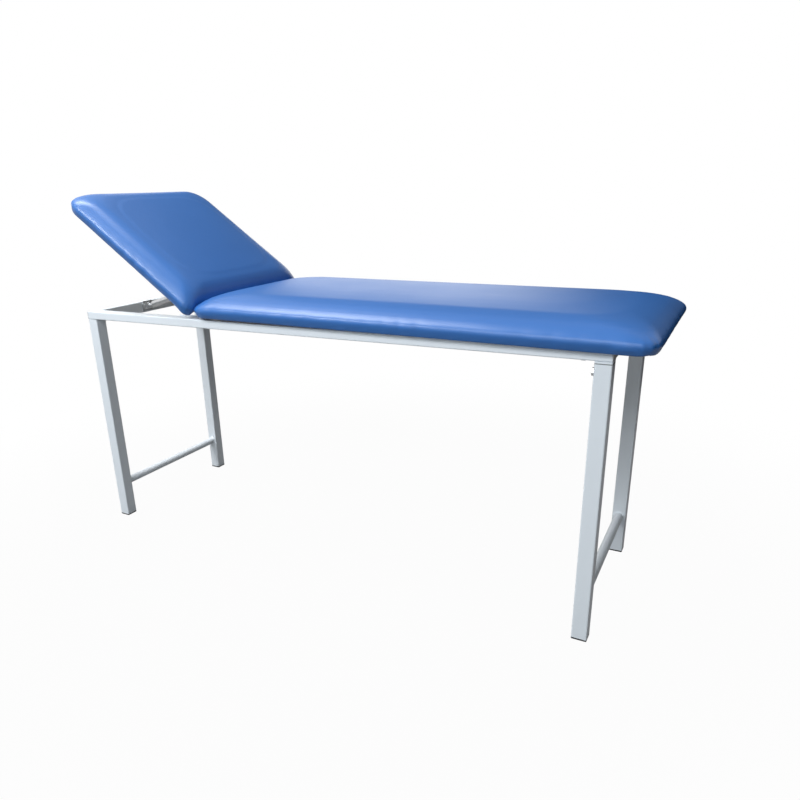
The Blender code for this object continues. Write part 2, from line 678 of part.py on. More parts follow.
def build_backrest(hinge):
    """The backrest pad with its two hinge arms and their screws, in the hinge's frame."""
    middle = -BACKREST_FROM_HINGE - BACKREST_LENGTH / 2
    board = build_pad("backrest", BACKREST_PAD, middle, BOARD_ABOVE_HINGE, hinge)
    lug_top = asin(ARM_TOP / ARM_LUG)
    outline = [(-ARM_LENGTH, -ARM_LUG)]
    outline += arc_points(ARM_LUG, -pi / 2, lug_top)
    outline += [(-ARM_LENGTH, ARM_TOP)]
    hole = circle_points(HINGE_BOLT_DIAMETER / 2 + RUNNING_GAP, BOLT_SEGMENTS)
    flange_length = ARM_LENGTH - ARM_FLANGE_START
    for side, sign in SIDES.items():
        name = f"{side}_hinge_arm"
        web = extruded(name, [outline, hole], ARM_THICKNESS)
        arm = add_part(name, web, PAINT, (0, sign * ARM_Y, 0), ALONG_Y, hinge)
        flange_y = sign * (ARM_Y + ARM_THICKNESS / 2 - ARM_FLANGE / 2)
        flange_place = (-ARM_FLANGE_START - flange_length / 2, flange_y, ARM_TOP - ARM_THICKNESS / 2)
        flange = box_mesh(name + "_flange", (flange_length, ARM_FLANGE, ARM_THICKNESS))
        combine(arm, add_helper(name + "_flange", flange, flange_place, parent=hinge), "UNION")
        screw_y = sign * (ARM_Y - ARM_FLANGE / 2)
        for number, reach in enumerate(ARM_SCREWS_FROM_HINGE, start=1):
            place = (-reach, screw_y, ARM_TOP - ARM_THICKNESS - SEAT_GAP)
            add_screw(f"{side}_arm_screw_{number}", place, ARM_THICKNESS, (arm, board), hinge)
    return board


def add_screw(name, place, grip, pieces, parent):
    """A pan-head wood screw from below: it runs through a plate of this thickness and up into a board."""
    radius = SCREW_DIAMETER / 2
    head = SCREW_HEAD_DIAMETER / 2
    tip = grip + 2 * SEAT_GAP + SCREW_BITE
    profile = [(0, tip), (radius, tip - radius), (radius, 0), (head, 0), (head, -SCREW_HEAD_HEIGHT / 2)]
    profile += [(head / 2, -SCREW_HEAD_HEIGHT), (0, -SCREW_HEAD_HEIGHT)]
    add_part(name, turned(name, profile), ZINC, place, parent=parent)
    hole = SCREW_DIAMETER + 2 * SEAT_GAP
    top = tip + SEAT_GAP
    for piece in pieces:
        bore(piece, f"{name}_hole_in_{piece.name}", hole, -SEAT_GAP / 2, top, place, UPRIGHT, parent)


def cheek_outline(reach, half_base):
    """A bracket's cheek: a lug round the pin at the origin, widening to its base at this reach along -X."""
    spread = atan2(half_base - BRACKET_LUG, reach)
    outline = [(-reach, half_base), (-reach, -half_base)]
    return outline + arc_points(BRACKET_LUG, -pi / 2 - spread, pi / 2 + spread)


def build_bracket(name, pin, base_size, reach, turn, parent=None):
    """A bracket with two cheeks about a pin along Y: its base is at this reach from the pin."""
    base_height, base_width = base_size
    hole = circle_points(PIN_DIAMETER / 2 + RUNNING_GAP, BOLT_SEGMENTS)
    frame = add_pivot(name + "_place", pin, turn, parent)
    centre = (-reach + BRACKET_PLATE / 2, 0, 0)
    base = box_mesh(name, (BRACKET_PLATE, base_width, base_height), centre)
    bracket = add_part(name, base, ZINC, parent=frame)
    outline = cheek_outline(reach - BRACKET_PLATE / 2, base_height / 2 - BRACKET_PLATE / 2)
    for side, sign in SIDES.items():
        cheek_name = f"{name}_{side}_cheek"
        cheek = extruded(cheek_name, [outline, hole], BRACKET_PLATE)
        helper = add_helper(cheek_name, cheek, (0, sign * CHEEK_OFFSET, 0), ALONG_Y, frame)
        combine(bracket, helper, "UNION")
    add_pin(name.replace("bracket", "pin"), ZINC, 2 * CHEEK_OFFSET + BRACKET_PLATE, (0, 0, 0), frame)
    return bracket


def build_strut(hinge, board):
    """The telescopic ratchet strut: a bracket at each end, the tube and the toothed rod."""
    build_bracket(
        "strut_foot_bracket",
        STRUT_FOOT,
        (FOOT_BRACKET_HEIGHT, BRACKET_WIDTH),
        STRUT_PIN_FROM_RAIL - SEAT_GAP,
        UPRIGHT,
    )
    head_bracket = build_bracket(
        "strut_head_bracket",
        STRUT_HEAD_LOCAL,
        (HEAD_BRACKET_LENGTH, BRACKET_WIDTH),
        STRUT_HEAD_DROP - SEAT_GAP,
        ALONG_X,
        hinge,
    )
    plate_low = BOARD_ABOVE_HINGE - SEAT_GAP - BRACKET_PLATE
    screw_reach = CHEEK_OFFSET + (BRACKET_WIDTH / 2 - CHEEK_OFFSET) * 0.6
    for number, sign in enumerate((-1, 1), start=1):
        place = (STRUT_HEAD_LOCAL.x, STRUT_Y + sign * screw_reach, plate_low - SEAT_GAP)
        add_screw(f"strut_bracket_screw_{number}", place, BRACKET_PLATE, (head_bracket, board), hinge)

    turn_back = Matrix.Rotation(REST_TILT, 4, "Y")
    strut_head = Vector((HINGE_X, 0, HINGE_Z)) + turn_back @ STRUT_HEAD_LOCAL
    reach = strut_head - STRUT_FOOT
    lift = atan2(reach.z, reach.x)
    build_strut_tube(add_pivot("strut_foot_pivot", STRUT_FOOT, (0, -lift, 0)))
    build_strut_rod(add_pivot("strut_head_pivot", strut_head, (0, -lift, 0)))


def eye_outline(length):
    """An eye round a pin at the origin, with a shank that runs along +X."""
    round_end = arc_points(STRUT_EYE_RADIUS, pi / 2, 3 * pi / 2)
    return round_end + [(length, -STRUT_EYE_RADIUS), (length, STRUT_EYE_RADIUS)]


def build_strut_tube(pivot):
    """The strut's outer tube, and the eye that plugs its lower end."""
    hole = circle_points(PIN_DIAMETER / 2 + RUNNING_GAP, BOLT_SEGMENTS)
    collar_start = STRUT_TUBE_START - STRUT_COLLAR
    outline = eye_outline(collar_start + STRUT_COLLAR / 2)
    eye_mesh = extruded("strut_foot_eye", [outline, hole], STRUT_EYE_THICKNESS)
    eye = add_part("strut_foot_eye", eye_mesh, ZINC, (0, 0, 0), ALONG_Y, pivot)
    radius = STRUT_TUBE_DIAMETER / 2
    plug = radius - TUBE_WALL - SEAT_GAP
    collar_end = STRUT_TUBE_START - SEAT_GAP
    tip = STRUT_TUBE_START + STRUT_PLUG
    profile = [(0, tip), (plug, tip), (plug, collar_end)]
    profile += [(radius, collar_end), (radius, collar_start), (0, collar_start)]
    stem = turned("strut_foot_eye_plug", profile, ROUND_SEGMENTS)
    combine(eye, add_helper("strut_foot_eye_plug", stem, (0, 0, 0), ALONG_X, pivot), "UNION")
    length = STRUT_TUBE_END - STRUT_TUBE_START
    tube = round_tube("strut_tube", STRUT_TUBE_DIAMETER, TUBE_WALL, length)
    add_part("strut_tube", tube, ZINC, ((STRUT_TUBE_START + STRUT_TUBE_END) / 2, 0, 0), ALONG_X, pivot)


def build_strut_rod(pivot):
    """The strut's toothed rod with its eye: it runs from its pin down into the tube."""
    hole = circle_points(PIN_DIAMETER / 2 + RUNNING_GAP, BOLT_SEGMENTS)
    outline = [(-x, y) for x, y in reversed(eye_outline(STRUT_ROD_START + BRACKET_PLATE))]
    rod_eye = extruded("strut_rod", [outline, hole], STRUT_EYE_THICKNESS)
    rod = add_part("strut_rod", rod_eye, ZINC, (0, 0, 0), ALONG_Y, pivot)
    radius = STRUT_ROD_DIAMETER / 2
    valley = radius - RATCHET_DEPTH
    profile = [(0, -STRUT_ROD_START), (radius, -STRUT_ROD_START)]
    first = -STRUT_ROD_LENGTH + RATCHET_FROM_TIP + RATCHET_TEETH * RATCHET_PITCH
    for tooth in range(RATCHET_TEETH):
        top = first - tooth * RATCHET_PITCH
        profile += [(radius, top), (valley, top - RATCHET_DEPTH), (radius, top - RATCHET_PITCH * 0.7)]
    tip = -STRUT_ROD_LENGTH
    profile += [(radius, tip + RATCHET_DEPTH), (valley, tip), (0, tip)]
    shaft = turned("strut_rod_shaft", profile)
    combine(rod, add_helper("strut_rod_shaft", shaft, (0, 0, 0), ALONG_X, pivot), "UNION")


for stray in list(bpy.data.objects):
    bpy.data.objects.remove(stray)
PARTS = new_collection("examination_bed")
HELPERS = new_collection("cutters")
HELPERS.hide_render = True
PAINT = new_material("white_powder_coat", (0.83, 0.86, 0.88), 0.42, 0.0)
ZINC = new_material("zinc_plated_steel", (0.66, 0.67, 0.68), 0.35, 1.0)
BLACK_PLASTIC = new_material("black_plastic", (0.025, 0.025, 0.027), 0.55, 0.0)
CAP_PLASTIC = new_material("pale_plastic", (0.74, 0.76, 0.78), 0.5, 0.0)
PLYWOOD = new_material("plywood", (0.58, 0.42, 0.26), 0.7, 0.0)
VINYL = new_material("blue_vinyl", (0.02, 0.09, 0.36), 0.38, 0.0)

build_side_rails()
build_cross_rails()
build_legs()
build_seat()
build_hinges()
HINGE = add_pivot("backrest_hinge", (HINGE_X, 0, HINGE_Z), (0, REST_TILT, 0))
BACKREST_BOARD = build_backrest(HINGE)
build_strut(HINGE, BACKREST_BOARD)
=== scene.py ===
"""Examination bed, dressed: vinyl, paint, plating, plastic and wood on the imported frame, and its stage.

The frame's own solids stay where they are and get their finishes here. The two pads are swelled as cloth
and take the place of the plain pads in the frame. Everything is in metres, with +X towards the foot end,
+Z up and -Y on the near side.
"""

from __future__ import annotations

import json
import logging
import math
from collections.abc import Callable
from dataclasses import dataclass, field
from enum import Enum
from itertools import product

import bpy
import numpy as np
from bpy.types import Material, Node, NodeOutputs, NodeSocket, NodeTree, Object, VertexGroup
from mathutils import Matrix, Vector, noise
from mathutils.bvhtree import BVHTree

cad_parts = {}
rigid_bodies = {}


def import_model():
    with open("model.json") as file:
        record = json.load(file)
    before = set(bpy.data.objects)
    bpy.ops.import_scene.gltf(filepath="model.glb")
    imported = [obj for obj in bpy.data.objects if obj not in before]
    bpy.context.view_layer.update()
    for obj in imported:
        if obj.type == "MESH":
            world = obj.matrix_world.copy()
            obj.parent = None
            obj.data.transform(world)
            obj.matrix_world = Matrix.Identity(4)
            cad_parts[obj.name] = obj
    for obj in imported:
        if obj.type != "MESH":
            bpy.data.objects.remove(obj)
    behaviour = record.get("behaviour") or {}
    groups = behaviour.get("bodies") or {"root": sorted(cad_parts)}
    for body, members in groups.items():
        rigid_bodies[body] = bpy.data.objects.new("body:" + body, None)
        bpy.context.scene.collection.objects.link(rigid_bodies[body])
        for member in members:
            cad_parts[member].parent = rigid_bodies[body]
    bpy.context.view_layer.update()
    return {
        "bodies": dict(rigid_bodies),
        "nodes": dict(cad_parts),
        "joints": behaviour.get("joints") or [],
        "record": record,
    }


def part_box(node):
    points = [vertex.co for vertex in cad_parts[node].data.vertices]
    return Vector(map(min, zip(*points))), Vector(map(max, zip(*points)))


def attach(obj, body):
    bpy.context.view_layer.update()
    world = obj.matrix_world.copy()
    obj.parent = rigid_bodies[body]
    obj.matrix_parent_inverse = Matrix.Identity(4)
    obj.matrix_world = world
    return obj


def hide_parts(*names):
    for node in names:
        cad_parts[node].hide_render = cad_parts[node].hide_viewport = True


LOG = logging.getLogger("examination_bed")
SAME_POINT = 0.00002
FAR_ABOVE = 30.0
Span = tuple[float, float]
Triple = tuple[float, float, float]
Offset = Callable[[Vector], float]


class Slot(Enum):
    """The record's material slots, which are the finishes of the bed."""

    PAINT = "white_powder_coat"
    ZINC = "zinc_plated_steel"
    BLACK = "black_plastic"
    PALE = "pale_plastic"
    PLYWOOD = "plywood"
    VINYL = "blue_vinyl"


class Body(Enum):
    """The rigid bodies that the new pieces ride on."""

    FRAME = "frame"
    BACKREST = "backrest"


# Modelling steps


def clear_selection() -> None:
    """Leaves edit mode with nothing selected, so that a new primitive stands alone."""
    if bpy.context.mode != "OBJECT":
        bpy.ops.object.mode_set(mode="OBJECT")
    bpy.ops.object.select_all(action="DESELECT")


def focus(piece: Object) -> None:
    """Makes one object the only selected one, and the active one.

    Args:
        piece: The object.
    """
    clear_selection()
    piece.select_set(True)
    bpy.context.view_layer.objects.active = piece


def leave_edit() -> None:
    """Goes back from edit mode."""
    bpy.ops.object.mode_set(mode="OBJECT")


def edit_all(piece: Object) -> None:
    """Goes into edit mode with all of one object selected.

    Args:
        piece: The object.
    """
    focus(piece)
    bpy.ops.object.mode_set(mode="EDIT")
    bpy.ops.mesh.select_all(action="SELECT")


def take_new(name: str) -> Object:
    """Names the object that an operator has just added, and its mesh.

    Args:
        name: The piece's name.

    Returns:
        The new object.
    """
    piece = bpy.context.object
    piece.name = name
    piece.data.name = name
    return piece


def settle(piece: Object) -> None:
    """Moves an object's place into its mesh, so that it sits at the origin, unturned and unscaled."""
    focus(piece)
    bpy.ops.object.transform_apply(location=True, rotation=True, scale=True)


def primitive(add: Callable, name: str, scale: Triple = (1.0, 1.0, 1.0), **values: object) -> Object:
    """Adds a mesh primitive, and moves its place and scale into its mesh.

    Args:
        add: The operator that adds it.
        name: The piece's name.
        scale: Its scale.
        values: The operator's settings.

    Returns:
        The new object.
    """
    clear_selection()
    add(**values)
    piece = take_new(name)
    piece.scale = scale
    settle(piece)
    return piece


def apply_modifier(piece: Object, kind: str, **values: object) -> None:
    """Adds a modifier to a piece and applies it.

    Args:
        piece: The piece to change.
        kind: The modifier's type.
        values: Its settings.
    """
    modifier = piece.modifiers.new(kind.lower(), kind)
    for label, value in values.items():
        setattr(modifier, label, value)
    focus(piece)
    bpy.ops.object.modifier_apply(modifier=modifier.name)


def combine(piece: Object, tool: Object, operation: str) -> None:
    """Cuts a tool out of a piece, or adds it, and takes the tool away."""
    apply_modifier(piece, "BOOLEAN", object=tool, operation=operation, solver="EXACT")
    bpy.data.objects.remove(tool)


def normals_of(piece: Object) -> list[Vector]:
    """The normals at a piece's points, as they are before any point moves."""
    return [vertex.normal.copy() for vertex in piece.data.vertices]


def smooth(piece: Object, degrees: float = 35.0) -> None:
    """Shades a piece smooth, with edges sharper than this angle left sharp."""
    focus(piece)
    bpy.ops.object.shade_smooth_by_angle(angle=math.radians(degrees))


def point_out(piece: Object) -> None:
    """Merges doubled points and turns all faces outwards.

    Args:
        piece: The object.
    """
    edit_all(piece)
    bpy.ops.mesh.remove_doubles(threshold=SAME_POINT)
    bpy.ops.mesh.normals_make_consistent(inside=False)
    leave_edit()


def pick(piece: Object, kind: str, test: Callable[[list[Vector]], bool]) -> None:
    """Goes into edit mode with only the points, edges or faces that pass a test selected.

    Args:
        piece: The object to edit.
        kind: VERT, EDGE or FACE.
        test: Whether an element is wanted, from the places of its points.
    """
    focus(piece)
    bpy.ops.object.mode_set(mode="EDIT")
    bpy.ops.mesh.select_mode(type=kind)
    bpy.ops.mesh.select_all(action="DESELECT")
    leave_edit()
    mesh = piece.data
    if kind == "VERT":
        for vertex in mesh.vertices:
            vertex.select = test([vertex.co])
    else:
        for element in mesh.edges if kind == "EDGE" else mesh.polygons:
            element.select = test([mesh.vertices[index].co for index in element.vertices])
    bpy.ops.object.mode_set(mode="EDIT")


def clamped(share: float) -> float:
    """A share kept from 0 to 1."""
    return min(1.0, max(0.0, share))


def eased_share(share: float) -> float:
    """A share from 0 to 1 that starts and ends gently."""
    share = clamped(share)
    return share * share * (3.0 - 2.0 * share)


def soft_floor(value: float, softness: float) -> float:
    """The value where it is well above 0, and 0 where it is well below, with a soft bend between."""
    share = value / softness
    return softness * math.log1p(math.exp(share)) if share < FAR_ABOVE else value


def bell(value: float, middle: float, width: float) -> float:
    """A bell curve of height 1."""
    return math.exp(-(((value - middle) / width) ** 2))


def joined(name: str, pieces: list[Object]) -> Object:
    """Joins several objects into one mesh.

    Args:
        name: The joined piece's name.
        pieces: The objects to join.

    Returns:
        The joined object.
    """
    clear_selection()
    for piece in pieces:
        piece.select_set(True)
    bpy.context.view_layer.objects.active = pieces[0]
    bpy.ops.object.join()
    return take_new(name)


# Finishes


class NodeSheet:
    """A node tree, with short calls for adding and joining nodes."""

    def __init__(self, tree: NodeTree) -> None:
        """Takes the tree to work on."""
        self.tree = tree

    def add(self, kind: str, inputs: dict | None = None, **values: object) -> Node:
        """Adds a node.

        Args:
            kind: The node's type.
            inputs: A value, or the socket that feeds it, for each input by name or number.
            values: Node properties to set.

        Returns:
            The node.
        """
        node = self.tree.nodes.new(kind)
        for label, value in values.items():
            setattr(node, label, value)
        for key, value in (inputs or {}).items():
            if isinstance(value, NodeSocket):
                self.tree.links.new(value, node.inputs[key])
            else:
                node.inputs[key].default_value = value
        return node

    def math(self, operation: str, *terms: object, use_clamp: bool = False) -> NodeSocket:
        """The result of one sum, whose terms are numbers or sockets."""
        inputs = dict(enumerate(terms))
        return self.add("ShaderNodeMath", inputs, operation=operation, use_clamp=use_clamp).outputs[0]

    def noise(self, place: NodeSocket, scale: object, **inputs: float) -> NodeSocket:
        """A noise value at a place, with the texture's other inputs by name."""
        return self.add("ShaderNodeTexNoise", {"Vector": place, "Scale": scale, **inputs}).outputs["Fac"]

    def ranged(
        self,
        value: NodeSocket,
        source: tuple[object, float],
        target: Span = (0.0, 1.0),
        eased: bool = False,
    ) -> NodeSocket:
        """A value mapped from one range to another, and held at both ends.

        Args:
            value: The value to map.
            source: The range that it comes from.
            target: The range that it goes to.
            eased: Whether it starts and ends gently.

        Returns:
            The socket with the mapped value.
        """
        ends = {"From Min": source[0], "From Max": source[1], "To Min": target[0], "To Max": target[1]}
        kind = "SMOOTHSTEP" if eased else "LINEAR"
        node = self.add("ShaderNodeMapRange", {"Value": value, **ends}, interpolation_type=kind)
        return node.outputs["Result"]

    def mixed(self, share: NodeSocket, *shaders: NodeSocket) -> NodeSocket:
        """Two shaders mixed by a share."""
        return self.add("ShaderNodeMixShader", dict(enumerate((share, *shaders)))).outputs[0]

    def end(self, output: str, shader: NodeSocket) -> None:
        """Joins a shader to the tree's output node."""
        self.tree.links.new(shader, self.tree.nodes[output].inputs["Surface"])


class NodeGroups:
    """Shader groups for effects that several finishes share, each built once."""

    def __init__(self) -> None:
        """Builds all the groups."""
        self.drift = self._drift()
        self.relief = self._relief()
        self.rub = self._rub()

    @staticmethod
    def _start(name: str, output: str, **inputs: float) -> tuple[NodeSheet, NodeOutputs]:
        """Starts a group that takes a place and some numbers, and gives one number.

        Args:
            name: The group's name.
            output: The name of what it gives.
            inputs: The numbers that it takes, with their defaults.

        Returns:
            The group's sheet, and the sockets of what it takes.
        """
        group = bpy.data.node_groups.new(name, "ShaderNodeTree")
        group.interface.new_socket(name="Vector", in_out="INPUT", socket_type="NodeSocketVector")
        for label, value in inputs.items():
            socket = group.interface.new_socket(name=label, in_out="INPUT", socket_type="NodeSocketFloat")
            socket.default_value = value
        group.interface.new_socket(name=output, in_out="OUTPUT", socket_type="NodeSocketFloat")
        sheet = NodeSheet(group)
        return sheet, sheet.add("NodeGroupInput").outputs

    def _drift(self) -> NodeTree:
        """A slow change over the surface, about 1, for tone and gloss.

        Returns:
            The group.
        """
        sheet, given = self._start("tone_drift", "Value", Scale=6.0, Amount=0.05)
        cloud = sheet.noise(given["Vector"], given["Scale"], Detail=3.0)
        amount = sheet.math("MULTIPLY", sheet.math("SUBTRACT", cloud, 0.5), given["Amount"])
        sheet.add("NodeGroupOutput", {"Value": sheet.math("MULTIPLY_ADD", amount, 2.0, 1.0)})
        return sheet.tree

    def _relief(self) -> NodeTree:
        """Fine lumps over a coarser swell, for paint skin and moulded grain.

        Returns:
            The group.
        """
        sheet, given = self._start("fine_relief", "Height", Scale=500.0, Swell=0.3)
        fine = sheet.noise(given["Vector"], given["Scale"], Detail=2.0)
        coarse = sheet.noise(given["Vector"], sheet.math("MULTIPLY", given["Scale"], 0.18))
        sheet.add("NodeGroupOutput", {"Height": sheet.math("MULTIPLY_ADD", coarse, given["Swell"], fine)})
        return sheet.tree

    def _rub(self) -> NodeTree:
        """Sparse faint rubbed streaks, from 0 to 1, for handled surfaces.

        Returns:
            The group.
        """
        sheet, given = self._start("rub_marks", "Mask", Scale=18.0, Cover=0.62)
        stretch = {"Vector": given["Vector"], "Scale": (0.35, 1.0, 2.2), "Rotation": (0.2, 0.5, 0.3)}
        place = sheet.add("ShaderNodeMapping", stretch).outputs[0]
        streak = sheet.noise(place, given["Scale"], Detail=6.0, Distortion=0.6)
        sheet.add("NodeGroupOutput", {"Mask": sheet.ranged(streak, (given["Cover"], 0.85), eased=True)})
        return sheet.tree


class MaterialBench(NodeSheet):
    """One finish being put together, on the object's own coordinates."""

    def __init__(self, name: str, groups: NodeGroups) -> None:
        """Starts the material with its shader and its place on the object.

        Args:
            name: The material's name.
            groups: The shared shader groups.
        """
        self.material = bpy.data.materials.new(name)
        self.material.use_nodes = True
        super().__init__(self.material.node_tree)
        self.groups = groups
        self.shader = self.tree.nodes["Principled BSDF"]
        self.place = self.add("ShaderNodeTexCoord").outputs["Object"]

    def feed(self, label: str, socket: NodeSocket) -> None:
        """Joins a socket to one of the shader's inputs."""
        self.tree.links.new(socket, self.shader.inputs[label])

    def use(self, group: NodeTree, **values: float) -> NodeSocket:
        """What a shared group gives at the object's coordinates, with values for its inputs."""
        return self.add("ShaderNodeGroup", {"Vector": self.place, **values}, node_tree=group).outputs[0]

    def scaled(self, colour: Triple, share: NodeSocket) -> NodeSocket:
        """A colour made lighter or darker by a share."""
        node = self.add("ShaderNodeVectorMath", {0: colour, "Scale": share}, operation="SCALE")
        return node.outputs["Vector"]

    def drifting_colour(self, colour: Triple, scale: float, amount: float) -> NodeSocket:
        """A colour whose tone drifts slowly over the surface."""
        return self.scaled(colour, self.use(self.groups.drift, Scale=scale, Amount=amount))

    def varied_roughness(self, middle: float, scale: float, amount: float, rubbed: float) -> None:
        """Roughness that drifts about a middle value, with rubbed places rougher or glossier.

        Args:
            middle: The roughness in the main.
            scale: How small the drift is.
            amount: How strong the drift is, as a share.
            rubbed: What a rubbed place adds.
        """
        drift = self.use(self.groups.drift, Scale=scale, Amount=amount)
        base = self.math("MULTIPLY", drift, middle)
        rub = self.use(self.groups.rub)
        self.feed("Roughness", self.math("MULTIPLY_ADD", rub, rubbed, base, use_clamp=True))

    def bump(self, height: NodeSocket, strength: float, distance: float) -> None:
        """Raises the surface by a height."""
        inputs = {"Strength": strength, "Distance": distance, "Height": height}
        self.feed("Normal", self.add("ShaderNodeBump", inputs).outputs["Normal"])

    def grain(self, scale: float, swell: float, strength: float, distance: float) -> None:
        """Raises the surface by the shared fine relief."""
        self.bump(self.use(self.groups.relief, Scale=scale, Swell=swell), strength, distance)


@dataclass(frozen=True)
class PowderCoat:
    """White powder coat: a satin skin with a slight orange peel, with painted shade in the gap at each foot
    leg's joint.
    """

    colour: Triple = (0.88, 0.925, 0.97)
    roughness: float = 0.36
    joint_height: float = 0.7045
    joint_from_x: float = 0.70
    joint_fade: Span = (0.0005, 0.0014)
    # Colour of the painted shade in the gap between each foot leg and its collar.
    joint_shade_colour: Triple = (0.11, 0.12, 0.12)

    def make(self, groups: NodeGroups) -> Material:
        """Builds the material.

        Args:
            groups: The shared shader groups.

        Returns:
            The material.
        """
        bench = MaterialBench("white powder coat", groups)
        paint = bench.drifting_colour(self.colour, scale=3.0, amount=0.03)
        # The dark line at the joint height is painted shade, standing for the shaded gap under each foot
        # leg's collar.
        tones = {0: self.joint_shade_line(bench), 6: paint, 7: (*self.joint_shade_colour, 1.0)}
        bench.feed("Base Color", bench.add("ShaderNodeMix", tones, data_type="RGBA").outputs[2])
        bench.varied_roughness(self.roughness, scale=9.0, amount=0.18, rubbed=0.06)
        bench.grain(scale=620.0, swell=0.9, strength=0.10, distance=0.0004)
        return bench.material

    def joint_shade_line(self, bench: MaterialBench) -> NodeSocket:
        """A mask of the painted shade line in the gap between each foot leg and its collar.

        Args:
            bench: The paint's bench.

        Returns:
            The socket with the mask.
        """
        split = bench.add("ShaderNodeSeparateXYZ", {0: bench.place}).outputs
        away = bench.math("ABSOLUTE", bench.math("SUBTRACT", split["Z"], self.joint_height))
        line = bench.ranged(away, self.joint_fade, (1.0, 0.0))
        return bench.math("MULTIPLY", line, bench.math("GREATER_THAN", split["X"], self.joint_from_x))


@dataclass(frozen=True)
class ZincPlate:
    """Bright zinc plate: pale metal with a faint spangle."""

    colour: Triple = (0.62, 0.63, 0.64)
    roughness: float = 0.30
    spangle: float = 240.0
    spangle_tones: Span = (0.86, 1.08)

    def make(self, groups: NodeGroups) -> Material:
        """Builds the material.

        Args:
            groups: The shared shader groups.

        Returns:
            The material.
        """
        bench = MaterialBench("zinc plate", groups)
        cells = bench.add("ShaderNodeTexVoronoi", {"Vector": bench.place, "Scale": self.spangle})
        shade = bench.ranged(cells.outputs["Color"], (0.0, 1.0), self.spangle_tones)
        bench.feed("Base Color", bench.scaled(self.colour, shade))
        bench.shader.inputs["Metallic"].default_value = 1.0
        bench.varied_roughness(self.roughness, scale=40.0, amount=0.3, rubbed=0.12)
        bench.grain(scale=900.0, swell=0.4, strength=0.06, distance=0.0002)
        return bench.material


@dataclass(frozen=True)
class MouldedPlastic:
    """Matt moulded plastic with a fine grain."""

    name: str
    colour: Triple
    roughness: float = 0.52

    def make(self, groups: NodeGroups) -> Material:
        """Builds the material.

        Args:
            groups: The shared shader groups.

        Returns:
            The material.
        """
        bench = MaterialBench(self.name, groups)
        bench.feed("Base Color", bench.drifting_colour(self.colour, scale=20.0, amount=0.08))
        bench.varied_roughness(self.roughness, scale=30.0, amount=0.12, rubbed=0.10)
        bench.grain(scale=1400.0, swell=0.2, strength=0.25, distance=0.0002)
        return bench.material


@dataclass(frozen=True)
class PlywoodFace:
    """Raw plywood: a rotary-cut birch face with its grain along the bed."""

    tones: tuple[Triple, Triple] = ((0.45, 0.30, 0.17), (0.62, 0.46, 0.29))
    tone_ends: Span = (0.48, 0.78)
    stretch: Triple = (0.12, 1.0, 0.5)
    pore_share: float = 0.35
    roughness: float = 0.68

    def make(self, groups: NodeGroups) -> Material:
        """Builds the material.

        Args:
            groups: The shared shader groups.

        Returns:
            The material.
        """
        bench = MaterialBench("plywood face", groups)
        stretched = {"Vector": bench.place, "Scale": self.stretch}
        along = bench.add("ShaderNodeMapping", stretched).outputs[0]
        figure = bench.noise(along, 26.0, Detail=7.0, Distortion=1.4)
        pores = bench.noise(along, 420.0, Detail=2.0)
        grain = bench.math("MULTIPLY_ADD", pores, self.pore_share, figure)
        ramp = bench.add("ShaderNodeValToRGB", {"Fac": grain})
        for stop, end, tone in zip(ramp.color_ramp.elements, self.tone_ends, self.tones):
            stop.position = end
            stop.color = (*tone, 1.0)
        bench.feed("Base Color", ramp.outputs["Color"])
        bench.varied_roughness(self.roughness, scale=14.0, amount=0.1, rubbed=0.05)
        bench.bump(grain, strength=0.25, distance=0.0005)
        return bench.material


@dataclass(frozen=True)
class CoatedVinyl:
    """Blue coated vinyl: a satin skin with a fine hide grain."""

    colour: Triple = (0.031, 0.148, 0.455)
    roughness: float = 0.35
    sheen_level: float = 0.50
    pebbles: float = 520.0
    pebble_depth: float = -0.6
    warp: float = 0.0016
    warp_scale: float = 0.6

    def make(self, groups: NodeGroups) -> Material:
        """Builds the material.

        Args:
            groups: The shared shader groups.

        Returns:
            The material.
        """
        bench = MaterialBench("blue vinyl", groups)
        bench.feed("Base Color", bench.drifting_colour(self.colour, scale=4.0, amount=0.05))
        bench.varied_roughness(self.roughness, scale=7.0, amount=0.10, rubbed=-0.04)
        bench.shader.inputs["Specular IOR Level"].default_value = self.sheen_level
        waves = {"Vector": bench.place, "Scale": self.pebbles * self.warp_scale}
        warp = bench.add("ShaderNodeTexNoise", waves)
        shift = {0: warp.outputs["Color"], 1: (self.warp,) * 3, 2: bench.place}
        warped = bench.add("ShaderNodeVectorMath", shift, operation="MULTIPLY_ADD").outputs["Vector"]
        cells = {"Vector": warped, "Scale": self.pebbles}
        pebble = bench.add("ShaderNodeTexVoronoi", cells, feature="SMOOTH_F1").outputs["Distance"]
        relief = bench.use(groups.relief, Scale=60.0, Swell=1.2)
        height = bench.math("MULTIPLY_ADD", pebble, self.pebble_depth, relief)
        bench.bump(height, strength=0.16, distance=0.0005)
        return bench.material


